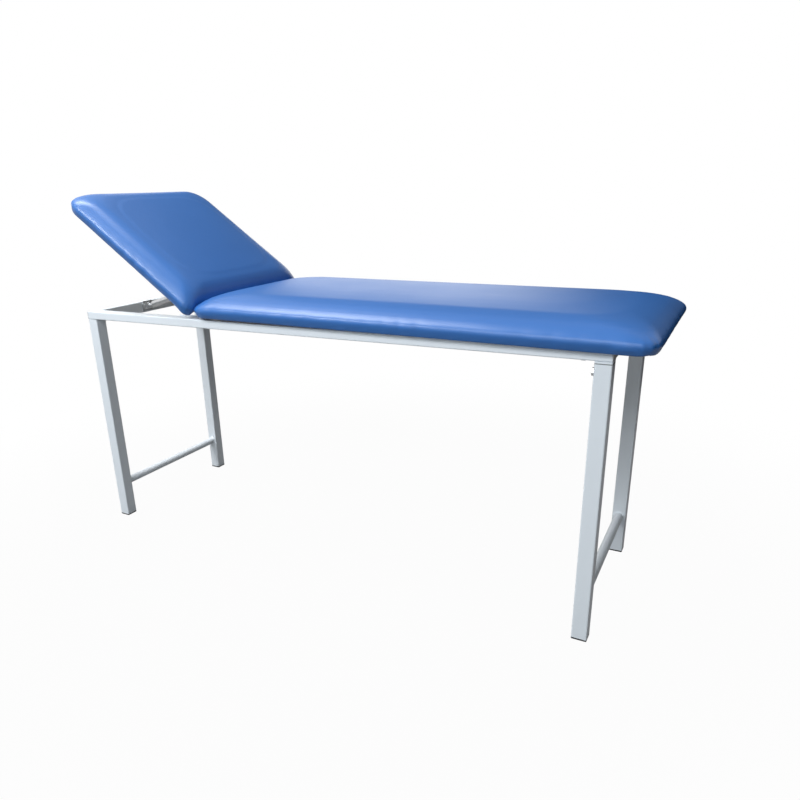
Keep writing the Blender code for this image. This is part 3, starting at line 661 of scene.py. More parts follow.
@dataclass
class FinishSet:
    """All the finishes of the bed, by slot."""

    groups: NodeGroups = field(default_factory=NodeGroups)
    made: dict[Slot, Material] = field(default_factory=dict)

    def __post_init__(self) -> None:
        """Builds every finish."""
        finishes = {
            Slot.PAINT: PowderCoat(),
            Slot.ZINC: ZincPlate(),
            Slot.BLACK: MouldedPlastic("black plastic", (0.018, 0.018, 0.020)),
            Slot.PALE: MouldedPlastic("pale plastic", (0.66, 0.68, 0.70)),
            Slot.PLYWOOD: PlywoodFace(),
            Slot.VINYL: CoatedVinyl(),
        }
        self.made = {slot: finish.make(self.groups) for slot, finish in finishes.items()}

    def dress_frame(self, frame: dict) -> None:
        """Gives each of the frame's own solids the finish of its slot.
        """
        by_node = {row["node"]: Slot(row["material_slot"]) for row in frame["record"]["subparts"]}
        for name, node in frame["nodes"].items():
            node.data.materials.clear()
            node.data.materials.append(self.made[by_node[name]])
        LOG.info("dressed %d frame solids", len(frame["nodes"]))

    def seat(self, piece: Object, body: Body, slot: Slot) -> None:
        """Gives a finished piece its finish and the body that carries it.

        Args:
            piece: The finished piece.
            body: The body that it rides on.
            slot: The record's slot for its finish.
        """
        piece.data.materials.clear()
        piece.data.materials.append(self.made[slot])
        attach(piece, body.value)
        LOG.info("piece %s on %s: %d faces", piece.name, body.value, len(piece.data.polygons))


# Pads


@dataclass(frozen=True)
class PadPlan:
    """A pad's plan outline and its board, in the pad's own frame: X along the pad, Z out of its board."""

    low_x: float
    high_x: float
    underside: float
    half_width: float = 0.286
    corner: float = 0.050
    foot_corner: float = 0.050
    board_cover: float = 0.009
    board_thickness: float = 0.015
    board_gap: float = 0.0003
    slack: float = 0.001

    @property
    def middle_x(self) -> float:
        """The middle of the pad's length."""
        return (self.low_x + self.high_x) / 2

    @property
    def half_length(self) -> float:
        """Half the pad's length."""
        return (self.high_x - self.low_x) / 2

    def corner_at(self, x: float) -> float:
        """The outline's corner radius at the end that is nearer to a place."""
        return self.foot_corner if x > self.middle_x else self.corner

    def edge_gap(self, x: float, y: float) -> float:
        """How far inside the plan outline a point lies.

        Args:
            x: Its place along the pad.
            y: Its place across the pad.

        Returns:
            The distance to the outline.
        """
        corner = self.corner_at(x)
        from_end = min(x - self.low_x, self.high_x - x)
        from_side = self.half_width - abs(y)
        if from_end < corner and from_side < corner:
            return corner - math.hypot(corner - from_end, corner - from_side)
        return min(from_end, from_side)

    def inward(self, spot: Vector) -> Vector:
        """The way in from the plan outline, at a point near it.

        Args:
            spot: The point.

        Returns:
            The direction.
        """
        step = self.slack
        ahead = self.edge_gap(spot.x + step, spot.y) - self.edge_gap(spot.x - step, spot.y)
        aside = self.edge_gap(spot.x, spot.y + step) - self.edge_gap(spot.x, spot.y - step)
        return Vector((ahead, aside, 0.0)) / (2.0 * step)

    def in_pocket(self, spots: list[Vector]) -> bool:
        """Whether all of these points lie on the board's pocket in the plain pad.

        Args:
            spots: The points of a face.

        Returns:
            True if they do.
        """
        wall = self.half_width - self.board_cover + self.slack
        low = self.low_x + self.board_cover - self.slack
        high = self.high_x - self.board_cover + self.slack
        top = self.underside + self.board_thickness + 2 * self.slack
        return all(spot.z < top and abs(spot.y) < wall and low < spot.x < high for spot in spots)

    def pocket_cutter(self, name: str, reach: float = 0.020) -> Object:
        """A block the size of the board's pocket, with the frame's clearance round the board.

        Args:
            name: The block's name.
            reach: How far it reaches below the underside.

        Returns:
            The block.
        """
        inset = self.board_cover - self.board_gap
        top = self.underside + self.board_thickness + self.board_gap
        low = self.underside - reach
        size = (self.high_x - self.low_x - 2 * inset, 2 * (self.half_width - inset), top - low)
        place = (self.middle_x, 0.0, (top + low) / 2)
        cutter = primitive(bpy.ops.mesh.primitive_cube_add, name, size, size=1.0, location=place)
        pick(cutter, "EDGE", lambda spots: abs(spots[0].z - spots[1].z) > reach / 2)
        bpy.ops.mesh.bevel(offset=self.corner - inset, segments=8, affect="EDGES")
        leave_edit()
        return cutter


@dataclass(frozen=True)
class HangingLip:
    """A pad's lower edge: full at its side, rolled under, and below the board except at the hinges."""

    drop: float = 0.0052
    height: float = 0.026
    falloff: float = 1.4
    top: float = 0.050
    reach: float = 0.024
    inner_fade: float = 0.006
    roll_radius: float = 0.046
    roll_height: float = 0.025
    bulge: float = 0.0040
    bulge_height: float = 0.022
    bulge_width: float = 0.012
    tuck: float = 0.004
    tuck_height: float = 0.008
    hinge_end: int = -1
    hinge_gap: float = 0.012
    hinge_fade: float = 0.040
    hinge_clear: float = 0.242
    clear_fade: float = 0.020
    tip_reach: float = 0.0
    tip_drop: float = 0.0

    def shape(self, pad: Object, plan: PadPlan) -> None:
        """Moves the points of a pad's lower edge.

        Args:
            pad: The pad, in its own frame.
            plan: Its plan.
        """
        for vertex in pad.data.vertices:
            height = vertex.co.z - plan.underside
            gap = plan.edge_gap(vertex.co.x, vertex.co.y)
            if height > self.top or gap > self.reach:
                continue
            from_hinge = vertex.co.x - plan.low_x if self.hinge_end < 0 else plan.high_x - vertex.co.x
            along = eased_share((from_hinge - self.hinge_gap) / self.hinge_fade)
            beside = eased_share((abs(vertex.co.y) - self.hinge_clear) / self.clear_fade)
            hanging = max(along, beside)
            if height < self.tuck_height:
                hanging *= clamped(1.0 - (gap - plan.board_cover) / self.inner_fade)
            low = max(0.0, 1.0 - max(0.0, height) / self.height) ** self.falloff
            fuller = self.bulge * bell(height, self.bulge_height, self.bulge_width)
            covered = clamped(1.0 - gap / plan.board_cover)
            drawn_in = covered * self.rolled_in(height, height - self.drop * low, plan.board_cover) - fuller
            vertex.co += plan.inward(vertex.co) * drawn_in * hanging
            at_tip = beside * (1.0 - along)
            vertex.co.x += self.hinge_end * self.tip_reach * at_tip * low
            vertex.co.z -= (self.drop + self.tip_drop * at_tip) * low * hanging

    def rolled_in(self, height: float, hung: float, board_cover: float) -> float:
        """How far the edge is drawn in, so that it rolls under from a full side.

        Args:
            height: A point's height above the underside on the plain pad.
            hung: Its height with the hanging lip.
            board_cover: How far the cover stands out round the board.

        Returns:
            The way in, for a point on the outline.
        """
        below = min(self.roll_height, max(0.0, self.roll_height - self.drop - hung))
        wanted = self.roll_radius - math.sqrt(self.roll_radius**2 - below**2)
        lift = clamped(height / self.tuck_height)
        plain = self.tuck * (1.0 - math.sqrt(1.0 - (1.0 - lift) ** 2))
        return (wanted - plain) / (1.0 - plain / board_cover)


@dataclass(frozen=True)
class StaplePulls:
    """The pulls of the staples along a pad's lower edge, and the small pleats round its corners."""

    seed: float
    spacing: float = 0.078
    depth: float = 0.0019
    height: float = 0.014
    rise: float = 0.016
    top: float = 0.045
    reach: float = 0.06
    wander: float = 1.8
    wander_scale: float = 4.0
    mean_pull: float = 0.55
    pull_spread: float = 0.9
    pull_scale: float = 7.0
    seed_gap: float = 9.0
    layers: Span = (1.0, 3.0)
    folds: tuple[Span, ...] = ((0.55, 1.0), (1.02, 0.7))
    fold_depth: float = 0.0012
    fold_width: float = 0.0050
    ridge_rise: float = 0.0006
    ridge_gap: float = 0.009
    ridge_width: float = 0.0060

    def shape(self, pad: Object, plan: PadPlan) -> None:
        """Draws the lower edge in.

        Args:
            pad: The pad, in its own frame.
            plan: Its plan.
        """
        for vertex, normal in zip(pad.data.vertices, normals_of(pad)):
            height = vertex.co.z - plan.underside
            x = vertex.co.x - plan.middle_x
            y = vertex.co.y
            from_side = plan.half_width - abs(y)
            from_end = plan.half_length - abs(x)
            if height > self.top or (from_side > self.reach and from_end > self.reach):
                continue
            depth = self.pull_at(x, y, from_side < from_end) + self.pleat_at(x, y, plan)
            vertex.co -= normal * depth * bell(height, self.height, self.rise)

    def pull_at(self, x: float, y: float, on_side: bool) -> float:
        """How deep the staples draw the cover in at a place, from the pad's middle.

        Args:
            x: How far along it is.
            y: How far across it is.
            on_side: Whether a long side is nearer than an end.

        Returns:
            The depth.
        """
        along = x if on_side else y
        drift = Vector((along * self.wander_scale, self.seed, math.copysign(self.layers[0], x + y)))
        layer = math.copysign(self.layers[1], y)
        change = Vector((along * self.pull_scale, self.seed + self.seed_gap, layer))
        strength = self.mean_pull + self.pull_spread * noise.noise(change)
        turns = along / self.spacing + self.wander * noise.noise(drift)
        wave = 0.5 + 0.5 * math.cos(2.0 * math.pi * turns)
        return self.depth * max(0.0, strength) * wave * wave

    def pleat_at(self, x: float, y: float, plan: PadPlan) -> float:
        """How deep the corner pleats are at a place, from the pad's middle: less than 0 on their ridges.

        Args:
            x: How far along it is.
            y: How far across it is.
            plan: The pad's plan.

        Returns:
            The depth.
        """
        corner = plan.corner_at(plan.middle_x + x)
        past_x = abs(x) - (plan.half_length - corner)
        past_y = abs(y) - (plan.half_width - corner)
        if past_x <= 0.0 or past_y <= 0.0:
            return 0.0
        depth = 0.0
        for fold, share in self.folds:
            gap = (math.atan2(past_y, past_x) - fold) * corner
            depth += self.fold_depth * share * bell(gap, 0.0, self.fold_width)
            depth -= self.ridge_rise * share * bell(gap, self.ridge_gap, self.ridge_width)
        return depth


@dataclass(frozen=True)
class ClothSwell:
    """How the cover is blown up as cloth: its weight, stiffnesses, pressure and steps."""

    quality: int = 5
    mass: float = 0.25
    tension_stiffness: float = 30.0
    compression_stiffness: float = 30.0
    shear_stiffness: float = 12.0
    bending_stiffness: float = 0.8
    uniform_pressure_force: float = 4.0
    steps: int = 20

    def run(self, pad: Object, held: VertexGroup) -> None:
        """Blows a pad up, with the points of one group held.

        Args:
            pad: The pad.
            held: The group of points, by how firmly they are held.
        """
        cloth = pad.modifiers.new("swell", "CLOTH")
        for label, value in vars(self).items():
            if label != "steps":
                setattr(cloth.settings, label, value)
        cloth.settings.use_pressure = True
        cloth.settings.vertex_group_mass = held.name
        cloth.settings.effector_weights.gravity = 0.0
        cloth.collision_settings.use_collision = False
        cloth.point_cache.frame_start = 1
        cloth.point_cache.frame_end = self.steps
        for step in range(1, self.steps + 1):
            bpy.context.scene.frame_set(step)
        focus(pad)
        bpy.ops.object.modifier_apply(modifier=cloth.name)
        bpy.context.scene.frame_set(1)


@dataclass(frozen=True)
class Pad:
    """A vinyl pad on its board: swelled as cloth from the plain pad, with a hanging lip and pulls."""

    name: str
    body: Body
    origin: Triple
    tilt: float
    plan: PadPlan
    lip: HangingLip
    pulls: StaplePulls
    cloth: ClothSwell = ClothSwell()
    voxel: float = 0.008
    smoothing: int = 6
    easing: int = 30
    shrink: float = 0.0025
    most_swell: float = 0.0016
    fullness: float = 0.0006
    softness: float = 0.0008
    flat_height: float = 0.0015
    stapled_height: float = 0.004
    free_rise: float = 0.026

    def frame(self) -> Matrix:
        """The pad's own frame: X along the pad, Z out of its board."""
        return Matrix.Translation(self.origin) @ Matrix.Rotation(self.tilt, 4, "Y")

    def build(self, finishes: FinishSet) -> None:
        """Makes the pad and puts it in the plain pad's place.

        Args:
            finishes: The bed's finishes.
        """
        pad = self.closed_copy()
        faces = [face.vertices for face in pad.data.polygons]
        form = BVHTree.FromPolygons([vertex.co for vertex in pad.data.vertices], faces)
        self.remesh(pad)
        self.fit(pad, form, lambda spot: -self.shrink * self.freedom(spot), self.easing)
        self.swell(pad)
        apply_modifier(pad, "SUBSURF", levels=1, render_levels=1)
        self.fit(pad, form, lambda spot: self.fullness, 4 * self.easing, only_out=True)
        self.lip.shape(pad, self.plan)
        self.pulls.shape(pad, self.plan)
        combine(pad, self.plan.pocket_cutter(f"{self.name}_pocket"), "DIFFERENCE")
        pad.data.transform(self.frame())
        smooth(pad, degrees=60.0)
        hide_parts(f"{self.name}_cushion")
        finishes.seat(pad, self.body, Slot.VINYL)

    def closed_copy(self) -> Object:
        """Copies the plain pad into the pad's frame and closes the board's pocket in it.

        Returns:
            The closed copy.
        """
        plain = bpy.data.objects[f"{self.name}_cushion"]
        clear_selection()
        pad = plain.copy()
        pad.data = plain.data.copy()
        pad.parent = None
        for key in list(pad.keys()):
            del pad[key]
        bpy.context.scene.collection.objects.link(pad)
        pad.name = f"{self.name}_vinyl_pad"
        pad.data.name = pad.name
        pad.data.transform(self.frame().inverted())
        point_out(pad)
        pick(pad, "FACE", self.plan.in_pocket)
        bpy.ops.mesh.delete(type="FACE")
        bpy.ops.mesh.select_mode(type="EDGE")
        bpy.ops.mesh.select_all(action="DESELECT")
        bpy.ops.mesh.select_non_manifold()
        bpy.ops.mesh.edge_face_add()
        bpy.ops.mesh.select_all(action="SELECT")
        bpy.ops.mesh.normals_make_consistent(inside=False)
        leave_edit()
        return pad

    def remesh(self, pad: Object) -> None:
        """Gives the pad an even mesh without facets.

        Args:
            pad: The pad.
        """
        pad.data.remesh_voxel_size = self.voxel
        pad.data.use_remesh_fix_poles = False
        focus(pad)
        bpy.ops.object.voxel_remesh()
        pick(pad, "VERT", lambda spots: spots[0].z > self.plan.underside + self.stapled_height)
        bpy.ops.mesh.vertices_smooth(factor=0.5, repeat=self.smoothing)
        leave_edit()

    def fit(self, pad: Object, form: BVHTree, offset: Offset, rounds: int, only_out: bool = False) -> None:
        """Brings the pad to an even offset from the plain pad's form, without its facets.

        Args:
            pad: The pad.
            form: The plain pad's surface.
            offset: The wanted distance outside the form, at a point.
            rounds: How often the distances are evened out.
            only_out: Whether points that are already further out stay there.
        """
        gaps = self.evened(pad, [self.gap_to(form, vertex.co) for vertex in pad.data.vertices], rounds)
        for vertex, normal, gap in zip(pad.data.vertices, normals_of(pad), gaps):
            move = offset(vertex.co) - gap
            if only_out:
                move = soft_floor(move, self.softness)
            if vertex.co.z > self.plan.underside + self.flat_height:
                vertex.co += normal * move

    @staticmethod
    def gap_to(form: BVHTree, spot: Vector) -> float:
        """How far a point lies outside a form, less than 0 where it lies inside."""
        near, normal, _, distance = form.find_nearest(spot)
        return math.copysign(distance, (spot - near).dot(normal))

    @staticmethod
    def evened(pad: Object, values: list[float], rounds: int) -> list[float]:
        """Evens out a value at each point with its neighbours'.

        Args:
            pad: The mesh whose edges say who the neighbours are.
            values: One value for each point.
            rounds: How often it is done.

        Returns:
            The evened values.
        """
        ends = np.empty(2 * len(pad.data.edges), dtype=np.int32)
        pad.data.edges.foreach_get("vertices", ends)
        starts, ends = ends[0::2], ends[1::2]
        count = len(values)
        shares = 1.0 + np.bincount(starts, minlength=count) + np.bincount(ends, minlength=count)
        level = np.asarray(values)
        for _ in range(rounds):
            taken = np.bincount(starts, level[ends], count) + np.bincount(ends, level[starts], count)
            level = (level + taken) / shares
        return level.tolist()

    def freedom(self, spot: Vector) -> float:
        """How free a point of the pad is: 0 on the stapled underside, 1 well above it."""
        return eased_share((spot.z - self.plan.underside - self.stapled_height) / self.free_rise)

    def swell(self, pad: Object) -> None:
        """Blows the cover up, held along the underside, and eases off how far each point moves.

        Args:
            pad: The pad.
        """
        held = pad.vertex_groups.new(name="stapled")
        for vertex in pad.data.vertices:
            held.add([vertex.index], 1.0 - self.freedom(vertex.co), "REPLACE")
        starts = [vertex.co.copy() for vertex in pad.data.vertices]
        normals = normals_of(pad)
        self.cloth.run(pad, held)
        pad.vertex_groups.clear()
        points = list(zip(pad.data.vertices, starts, normals))
        outs = [(vertex.co - start).dot(normal) for vertex, start, normal in points]
        outs = self.evened(pad, outs, 3 * self.easing)
        for (vertex, start, normal), out in zip(points, outs):
            least = self.shrink * self.freedom(start)
            more = soft_floor(out - least, self.softness)
            vertex.co = start + normal * (least + self.most_swell * math.tanh(more / self.most_swell))


@dataclass(frozen=True)
class PadHem:
    """The vinyl turned under a pad's board, with the staples that hold it."""

    pad: Pad
    width: float = 0.026
    thickness: float = 0.0009
    board_gap: float = 0.0002
    staple_spacing: float = 0.040
    staple_size: Triple = (0.010, 0.0012, 0.0006)
    staple_round: float = 0.0002
    staple_drop: float = 0.0004
    staple_skew: float = 0.12
    skew_rates: Span = (2.3, 1.7)

    def build(self, finishes: FinishSet) -> None:
        """Makes the hem and its row of staples.

        Args:
            finishes: The bed's finishes.
        """
        for piece, slot in ((self.strip(), Slot.VINYL), (self.staples(), Slot.ZINC)):
            piece.data.transform(self.pad.frame())
            finishes.seat(piece, self.pad.body, slot)

    def half_size(self) -> Span:
        """Half the board's length and width."""
        plan = self.pad.plan
        return plan.half_length - plan.board_cover, plan.half_width - plan.board_cover

    def strip(self) -> Object:
        """The turned-under strip: a flat ring with round corners and a rolled inner edge.

        Returns:
            The strip.
        """
        plan = self.pad.plan
        place = (plan.middle_x, 0.0, plan.underside - self.board_gap - self.thickness)
        name = f"{self.pad.name}_hem"
        size = (*self.half_size(), 1.0)
        hem = primitive(bpy.ops.mesh.primitive_plane_add, name, size, size=2.0, location=place)
        edit_all(hem)
        bpy.ops.mesh.bevel(offset=plan.corner - plan.board_cover, segments=8, affect="VERTICES")
        bpy.ops.mesh.select_all(action="SELECT")
        bpy.ops.mesh.inset(thickness=self.width, depth=0.0)
        bpy.ops.mesh.delete(type="FACE")
        leave_edit()
        apply_modifier(hem, "SOLIDIFY", thickness=self.thickness, offset=1.0)
        apply_modifier(hem, "BEVEL", width=self.thickness * 0.4, segments=2)
        point_out(hem)
        smooth(hem)
        return hem

    def staples(self) -> Object:
        """One staple, copied along all four sides of the hem.

        Returns:
            The staples, as one piece.
        """
        plan = self.pad.plan
        half_length, half_width = self.half_size()
        across = self.width * 0.5
        height = plan.underside - self.thickness - self.staple_drop
        name = f"{self.pad.name}_staple"
        first = primitive(bpy.ops.mesh.primitive_cube_add, name, self.staple_size, size=1.0)
        edit_all(first)
        bpy.ops.mesh.bevel(offset=self.staple_round, segments=1, affect="EDGES")
        leave_edit()
        pieces = []
        long_row = (half_length, half_width, self.skew_rates[0], 0.0)
        end_row = (half_width, half_length, self.skew_rates[1], math.pi / 2)
        for side, (run, edge, rate, quarter) in product((-1, 1), (long_row, end_row)):
            count = int((run - plan.corner) / self.staple_spacing)
            for step in range(-count, count + 1):
                along, out = step * self.staple_spacing, side * (edge - across)
                x, y = (out, along) if quarter else (along, out)
                turn = quarter + self.staple_skew * math.sin(step * rate + side)
                pieces.append(self.copy_staple(first, (plan.middle_x + x, y, height), turn))
        bpy.data.objects.remove(first)
        return joined(f"{self.pad.name}_staples", pieces)

    @staticmethod
    def copy_staple(first: Object, place: Triple, turn: float) -> Object:
        """A copy of the first staple, turned about Z and moved into place.

        Args:
            first: The staple to copy.
            place: Where its middle goes.
            turn: Its turn in radians.

        Returns:
            The copy.
        """
        staple = first.copy()
        staple.data = first.data.copy()
        staple.data.transform(Matrix.Translation(place) @ Matrix.Rotation(turn, 4, "Z"))
        bpy.context.scene.collection.objects.link(staple)
        return staple


# Welds and bolts


@dataclass(frozen=True)
class StretcherWelds:
    """The fillet welds round both ends of a stretcher tube."""

    stretcher: str
    bead: float = 0.0022
    spread: float = 0.25
    ripples: int = 26
    ripple: float = 0.10
    lumps: float = 0.12
    lump_scale: float = 180.0
    leg_bite: float = 0.0002
    tube_bite: float = 0.0004

    def build(self, finishes: FinishSet) -> None:
        """Makes the two beads as one piece.

        Args:
            finishes: The bed's finishes.
        """
        low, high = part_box(self.stretcher)
        centre = (low + high) / 2
        radius = (high.z - low.z) / 2
        beads = []
        for end, y in enumerate((low.y, high.y)):
            bead = primitive(
                bpy.ops.mesh.primitive_torus_add,
                f"{self.stretcher}_weld_{end + 1}",
                location=(centre.x, y, centre.z),
                rotation=(math.pi / 2, 0.0, 0.0),
                major_radius=radius + self.bead * self.spread,
                minor_radius=self.bead,
                major_segments=self.ripples * 4,
                minor_segments=12,
            )
            self.ripple_bead(bead, centre, radius, y)
            beads.append(bead)
        welds = joined(f"{self.stretcher}_welds", beads)
        point_out(welds)
        smooth(welds, degrees=60.0)
        finishes.seat(welds, Body.FRAME, Slot.PAINT)

    def ripple_bead(self, bead: Object, centre: Vector, radius: float, y: float) -> None:
        """Lays ripples and lumps on a bead, and seats it against the tube and the leg.

        Args:
            bead: The bead, as a plain ring.
            centre: The stretcher's middle.
            radius: The stretcher's radius.
            y: The face of the leg.
        """
        inward = 1.0 if y < 0 else -1.0
        for vertex in bead.data.vertices:
            turn = math.atan2(vertex.co.z - centre.z, vertex.co.x - centre.x)
            lump = 1.0 + self.ripple * math.cos(self.ripples * turn)
            lump += self.lumps * noise.noise(vertex.co * self.lump_scale)
            away = (vertex.co.y - y) * inward
            vertex.co.y = y + inward * max(-self.leg_bite, away * lump)
            spoke = Vector((vertex.co.x - centre.x, 0.0, vertex.co.z - centre.z))
            spoke.length = max(radius - self.tube_bite, radius + (spoke.length - radius) * lump)
            vertex.co.x = centre.x + spoke.x
            vertex.co.z = centre.z + spoke.z


@dataclass(frozen=True)
class LegBolt:
    """A leg's clamp bolt: a chamfered hex head on a round flange, and its shank into the leg."""

    side: str
    flats: float = 0.017
    head: float = 0.0065
    shank: float = 0.010
    chamfer: float = 0.0009
    flange: float = 0.0014
    flange_share: float = 0.54
    overlap: float = 0.0004
    rim: float = 0.0003
    touch: float = 0.0001

    def build(self, finishes: FinishSet) -> None:
        """Makes the bolt in the place of the frame's plain one.

        Args:
            finishes: The bed's finishes.
        """
        node = f"{self.side}_leg_bolt"
        low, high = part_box(node)
        centre = (low + high) / 2
        seat = low.x + self.head
        bolt = self.head_piece(low.x, centre)
        flange = ("flange", (seat - self.flange, seat), self.flats * self.flange_share)
        shank = ("shank", (seat - self.overlap, high.x), self.shank / 2)
        for label, ends, radius in (flange, shank):
            other = self.bar(label, ends, radius, centre, sides=40)
            apply_modifier(other, "BEVEL", width=self.rim, segments=2, limit_method="ANGLE")
            combine(bolt, other, "UNION")
        bolt.name = f"{self.side}_leg_clamp_bolt"
        smooth(bolt, degrees=30.0)
        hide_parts(node)
        finishes.seat(bolt, Body.FRAME, Slot.ZINC)

    def head_piece(self, low_x: float, centre: Vector) -> Object:
        """The hex head, with its outer corners turned off.

        Args:
            low_x: Its outer end.
            centre: A point on the bolt's axis.

        Returns:
            The head.
        """
        radius = self.flats / 2 / math.cos(math.pi / 6)
        head = self.bar("head", (low_x, low_x + self.head), radius, centre, sides=6)
        pick(head, "EDGE", lambda spots: max(spot.x for spot in spots) < low_x + self.touch)
        bpy.ops.mesh.bevel(offset=self.chamfer, segments=2, affect="EDGES")
        leave_edit()
        return head

    def bar(self, label: str, ends: Span, radius: float, centre: Vector, sides: int) -> Object:
        """A bar along X.

        Args:
            label: What it is on the bolt.
            ends: Where it starts and ends along X.
            radius: Its radius, to its corners.
            centre: A point on the bolt's axis.
            sides: How many sides it has.

        Returns:
            The bar.
        """
        return primitive(
            bpy.ops.mesh.primitive_cylinder_add,
            f"{self.side}_bolt_{label}",
            vertices=sides,
            radius=radius,
            depth=ends[1] - ends[0],
            location=((ends[0] + ends[1]) / 2, centre.y, centre.z),
            rotation=(0.0, math.pi / 2, 0.0),
        )


# Stage


def matt(name: str, level: float, roughness: float) -> tuple[Material, NodeSheet, Node]:
    """Starts a plain grey material for the stage.

    Args:
        name: The material's name.
        level: Its grey level.
        roughness: Its roughness.

    Returns:
        The material, its sheet and its shader.
    """
    material = bpy.data.materials.new(name)
    material.use_nodes = True
    shader = material.node_tree.nodes["Principled BSDF"]
    shader.inputs["Base Color"].default_value = (level, level, level, 1.0)
    shader.inputs["Roughness"].default_value = roughness
    return material, NodeSheet(material.node_tree), shader


@dataclass(frozen=True)
class Softbox:
    """A rectangular lamp that faces a point, with its size in metres and its power in watts."""

    name: str
    place: Triple
    target: Triple
    size: Span
    power: float
    colour: Triple
    steep: float = 0.6

    def build(self) -> None:
        """Hangs the lamp."""
        light = bpy.data.lights.new(self.name, "AREA")
        light.shape = "RECTANGLE"
        light.size, light.size_y = self.size
        light.energy = self.power
        light.color = self.colour
        lamp = bpy.data.objects.new(self.name, light)
        bpy.context.scene.collection.objects.link(lamp)
        lamp.visible_camera = False
        back = (Vector(self.place) - Vector(self.target)).normalized()
        up = Vector((0.0, 1.0, 0.0)) if abs(back.z) > self.steep else Vector((0.0, 0.0, 1.0))
        side = up.cross(back).normalized()
        turned = Matrix((side, back.cross(side), back)).transposed().to_4x4()
        lamp.matrix_world = Matrix.Translation(self.place) @ turned


@dataclass(frozen=True)
class Flag:
    """A dark upright panel out of the picture, which keeps light off one side.

    It is turned about Z, in degrees, from facing the near side. A soft flag gets denser over that width from
    its head side on, and another is evenly dense.
    """

    name: str
    place: Triple
    size: Span
    density: float
    turn: float = 0.0
    soft: float = 0.0
    level: float = 0.01

    def build(self) -> None:
        """Puts the panel up."""
        turned = (math.pi / 2, 0.0, math.radians(self.turn))
        panel = primitive(
            bpy.ops.mesh.primitive_plane_add,
            self.name.replace(" ", "_"),
            (*self.size, 1.0),
            size=1.0,
            location=self.place,
            rotation=turned,
        )
        cloth, sheet, shader = matt(self.name, self.level, 1.0)
        shader.inputs["Specular IOR Level"].default_value = 0.0
        shader.inputs["Alpha"].default_value = self.density
        if self.soft:
            edge = self.place[0] - self.size[0] / 2 * math.cos(math.radians(self.turn))
            where = sheet.add("ShaderNodeTexCoord").outputs["Object"]
            across = sheet.add("ShaderNodeSeparateXYZ", {0: where}).outputs["X"]
            fade = sheet.ranged(across, (edge, edge + self.soft), (self.density, 1.0), eased=True)
            sheet.tree.links.new(fade, shader.inputs["Alpha"])
        panel.data.materials.append(cloth)
        panel.visible_camera = False
        panel.visible_shadow = False


LAMPS = (
    Softbox("key softbox", (-1.45, -2.00, 2.55), (-0.2, -0.1, 0.80), (0.55, 0.50), 28.0, (0.95, 0.98, 1.0)),
    Softbox("top softbox", (-2.20, -0.55, 4.75), (0.1, -0.1, 0.75), (2.1, 1.1), 138.0, (0.97, 0.99, 1.0)),
    Softbox("high front softbox", (0.2, -3.4, 3.4), (0.2, 0.0, 0.5), (4.0, 2.2), 104.0, (0.92, 0.97, 1.0)),
    Softbox("low front softbox", (0.3, -4.2, 0.9), (0.3, 0.0, 0.3), (3.0, 1.0), 16.0, (0.85, 0.94, 1.0)),
    Softbox("back softbox", (-1.0, 3.0, 1.7), (0.0, 0.0, 0.8), (2.4, 1.2), 8.5, (0.97, 0.985, 1.0)),
)
FLAGS = (
    Flag("back flag", (2.0, 2.1, 0.75), (5.0, 1.5), density=0.05, soft=1.0),
    Flag("high flag", (-0.6, 2.4, 2.6), (4.2, 2.0), density=0.82),
    Flag("foot flag", (2.75, 0.4, 0.75), (2.8, 1.5), density=1.0, turn=-90.0),
)


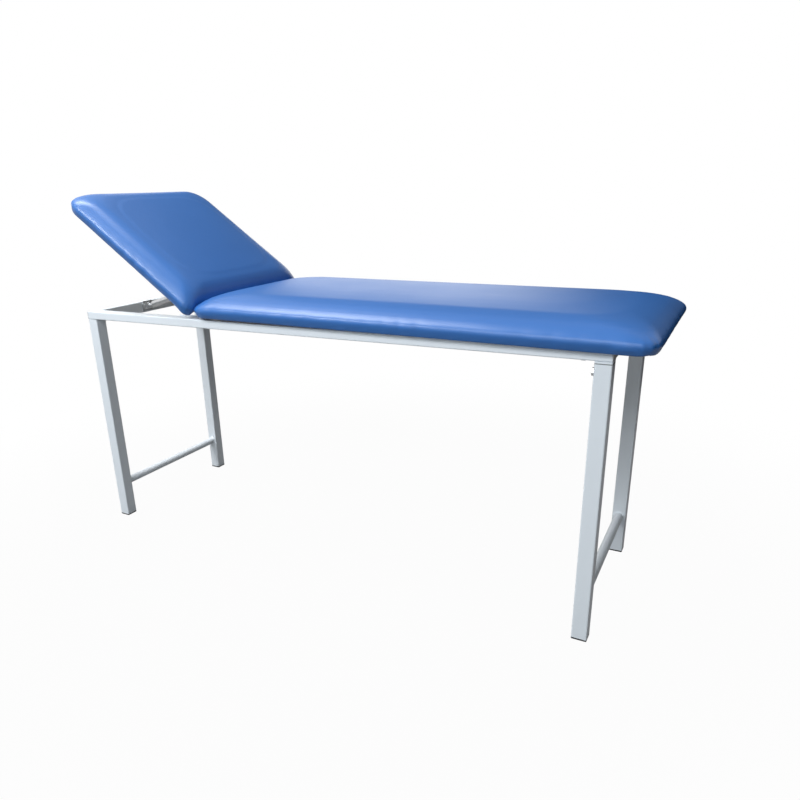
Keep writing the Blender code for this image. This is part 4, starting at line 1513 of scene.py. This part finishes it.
@dataclass(frozen=True)
class Studio:
    """The pale floor, the soft studio light and the camera at the photograph's viewing angle."""

    camera_place: Triple = (1.00997, -1.74714, 1.07191)
    camera_turn: Triple = (70.1395, 2.1287, 29.9697)
    lens: float = 30.368
    sensor: float = 36.0
    shift: Span = (0.0585, 0.0442)
    ambient: float = 0.12
    ambient_colour: Triple = (0.92, 0.96, 1.0)
    floor_size: float = 14.0
    floor_level: float = 0.13
    floor_roughness: float = 0.9
    floor_gloss: float = 0.35
    floor_fade: Span = (0.9, 2.2)
    floor_white: Span = (0.972, 1.0)

    def build(self) -> None:
        """Sets up the whole stage, with the plain display transform."""
        bpy.context.scene.view_settings.view_transform = "Standard"
        self.floor()
        self.world()
        for prop in (*LAMPS, *FLAGS):
            prop.build()
        self.camera()
        LOG.info("stage ready")

    def floor(self) -> None:
        """A wide pale floor that keeps the bed's soft shadow, clear when it is looked at from below."""
        floor = primitive(bpy.ops.mesh.primitive_plane_add, "studio_floor", size=self.floor_size)
        material, sheet, shader = matt("studio floor", self.floor_level, self.floor_roughness)
        place = sheet.add("ShaderNodeTexCoord").outputs["Object"]
        reach = sheet.add("ShaderNodeVectorMath", {0: place}, operation="LENGTH").outputs["Value"]
        white = sheet.ranged(reach, self.floor_fade, self.floor_white, eased=True)
        share = sheet.math("MULTIPLY", self.seen_rays(sheet, self.floor_gloss), white)
        glow = sheet.add("ShaderNodeEmission").outputs["Emission"]
        shown = sheet.mixed(share, shader.outputs["BSDF"], glow)
        below = sheet.add("ShaderNodeNewGeometry").outputs["Backfacing"]
        clear = sheet.add("ShaderNodeBsdfTransparent").outputs["BSDF"]
        sheet.end("Material Output", sheet.mixed(below, shown, clear))
        floor.data.materials.append(material)

    @staticmethod
    def seen_rays(sheet: NodeSheet, gloss: float) -> NodeSocket:
        """A value of 1 for rays that show the background to the camera, and less for gloss.

        Args:
            sheet: The tree to work in.
            gloss: How much of the background shows in gloss.

        Returns:
            The socket with that value.
        """
        rays = sheet.add("ShaderNodeLightPath").outputs
        dimmed = sheet.math("MULTIPLY", rays["Is Glossy Ray"], gloss)
        seen = sheet.math("MAXIMUM", rays["Is Camera Ray"], dimmed)
        return sheet.math("MAXIMUM", seen, rays["Is Transmission Ray"])

    def world(self) -> None:
        """White where the background shows, and a plain soft level everywhere else."""
        world = bpy.data.worlds.new("studio")
        bpy.context.scene.world = world
        world.use_nodes = True
        sheet = NodeSheet(world.node_tree)
        soft = world.node_tree.nodes["Background"]
        soft.inputs["Color"].default_value = (*self.ambient_colour, 1.0)
        soft.inputs["Strength"].default_value = self.ambient
        white = sheet.add("ShaderNodeBackground", {"Color": (1.0, 1.0, 1.0, 1.0)}).outputs["Background"]
        shown = sheet.mixed(self.seen_rays(sheet, 1.0), soft.outputs["Background"], white)
        sheet.end("World Output", shown)

    def camera(self) -> None:
        """The camera, with its shift for the photograph's framing."""
        lens = bpy.data.cameras.new("camera")
        lens.sensor_width = self.sensor
        lens.lens = self.lens
        lens.shift_x, lens.shift_y = self.shift
        camera = bpy.data.objects.new("camera", lens)
        bpy.context.scene.collection.objects.link(camera)
        camera.location = self.camera_place
        camera.rotation_euler = [math.radians(turn) for turn in self.camera_turn]
        bpy.context.scene.camera = camera


# The bed

SEAT_RISE = 0.013 - 0.0003
SEAT_RUN = 0.777 + 0.404
SEAT = Pad(
    name="seat",
    body=Body.FRAME,
    origin=(-0.404, 0.0, 0.748),
    tilt=math.atan2(SEAT_RISE, SEAT_RUN),
    plan=PadPlan(low_x=0.0, high_x=1.271, underside=0.0),
    lip=HangingLip(),
    pulls=StaplePulls(seed=3.0),
)
BACKREST = Pad(
    name="backrest",
    body=Body.BACKREST,
    origin=(-0.414, 0.0, 0.740),
    tilt=math.radians(35.0),
    plan=PadPlan(low_x=-0.558, high_x=-0.008, underside=0.008, foot_corner=0.026),
    lip=HangingLip(hinge_end=1, tip_reach=0.005, tip_drop=0.0045),
    pulls=StaplePulls(seed=17.0),
    voxel=0.006,
)
PIECES = (
    SEAT,
    BACKREST,
    PadHem(SEAT, width=0.0095),
    PadHem(BACKREST),
    StretcherWelds("head_stretcher"),
    StretcherWelds("foot_stretcher"),
    LegBolt("near"),
    LegBolt("far"),
)


def main() -> None:
    """Loads the frame, dresses it and sets the stage."""
    logging.basicConfig(level=logging.INFO, format="%(name)s: %(message)s")
    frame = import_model()
    finishes = FinishSet()
    finishes.dress_frame(frame)
    Studio().build()
    for piece in PIECES:
        piece.build(finishes)


if __name__ == "__main__":
    main()
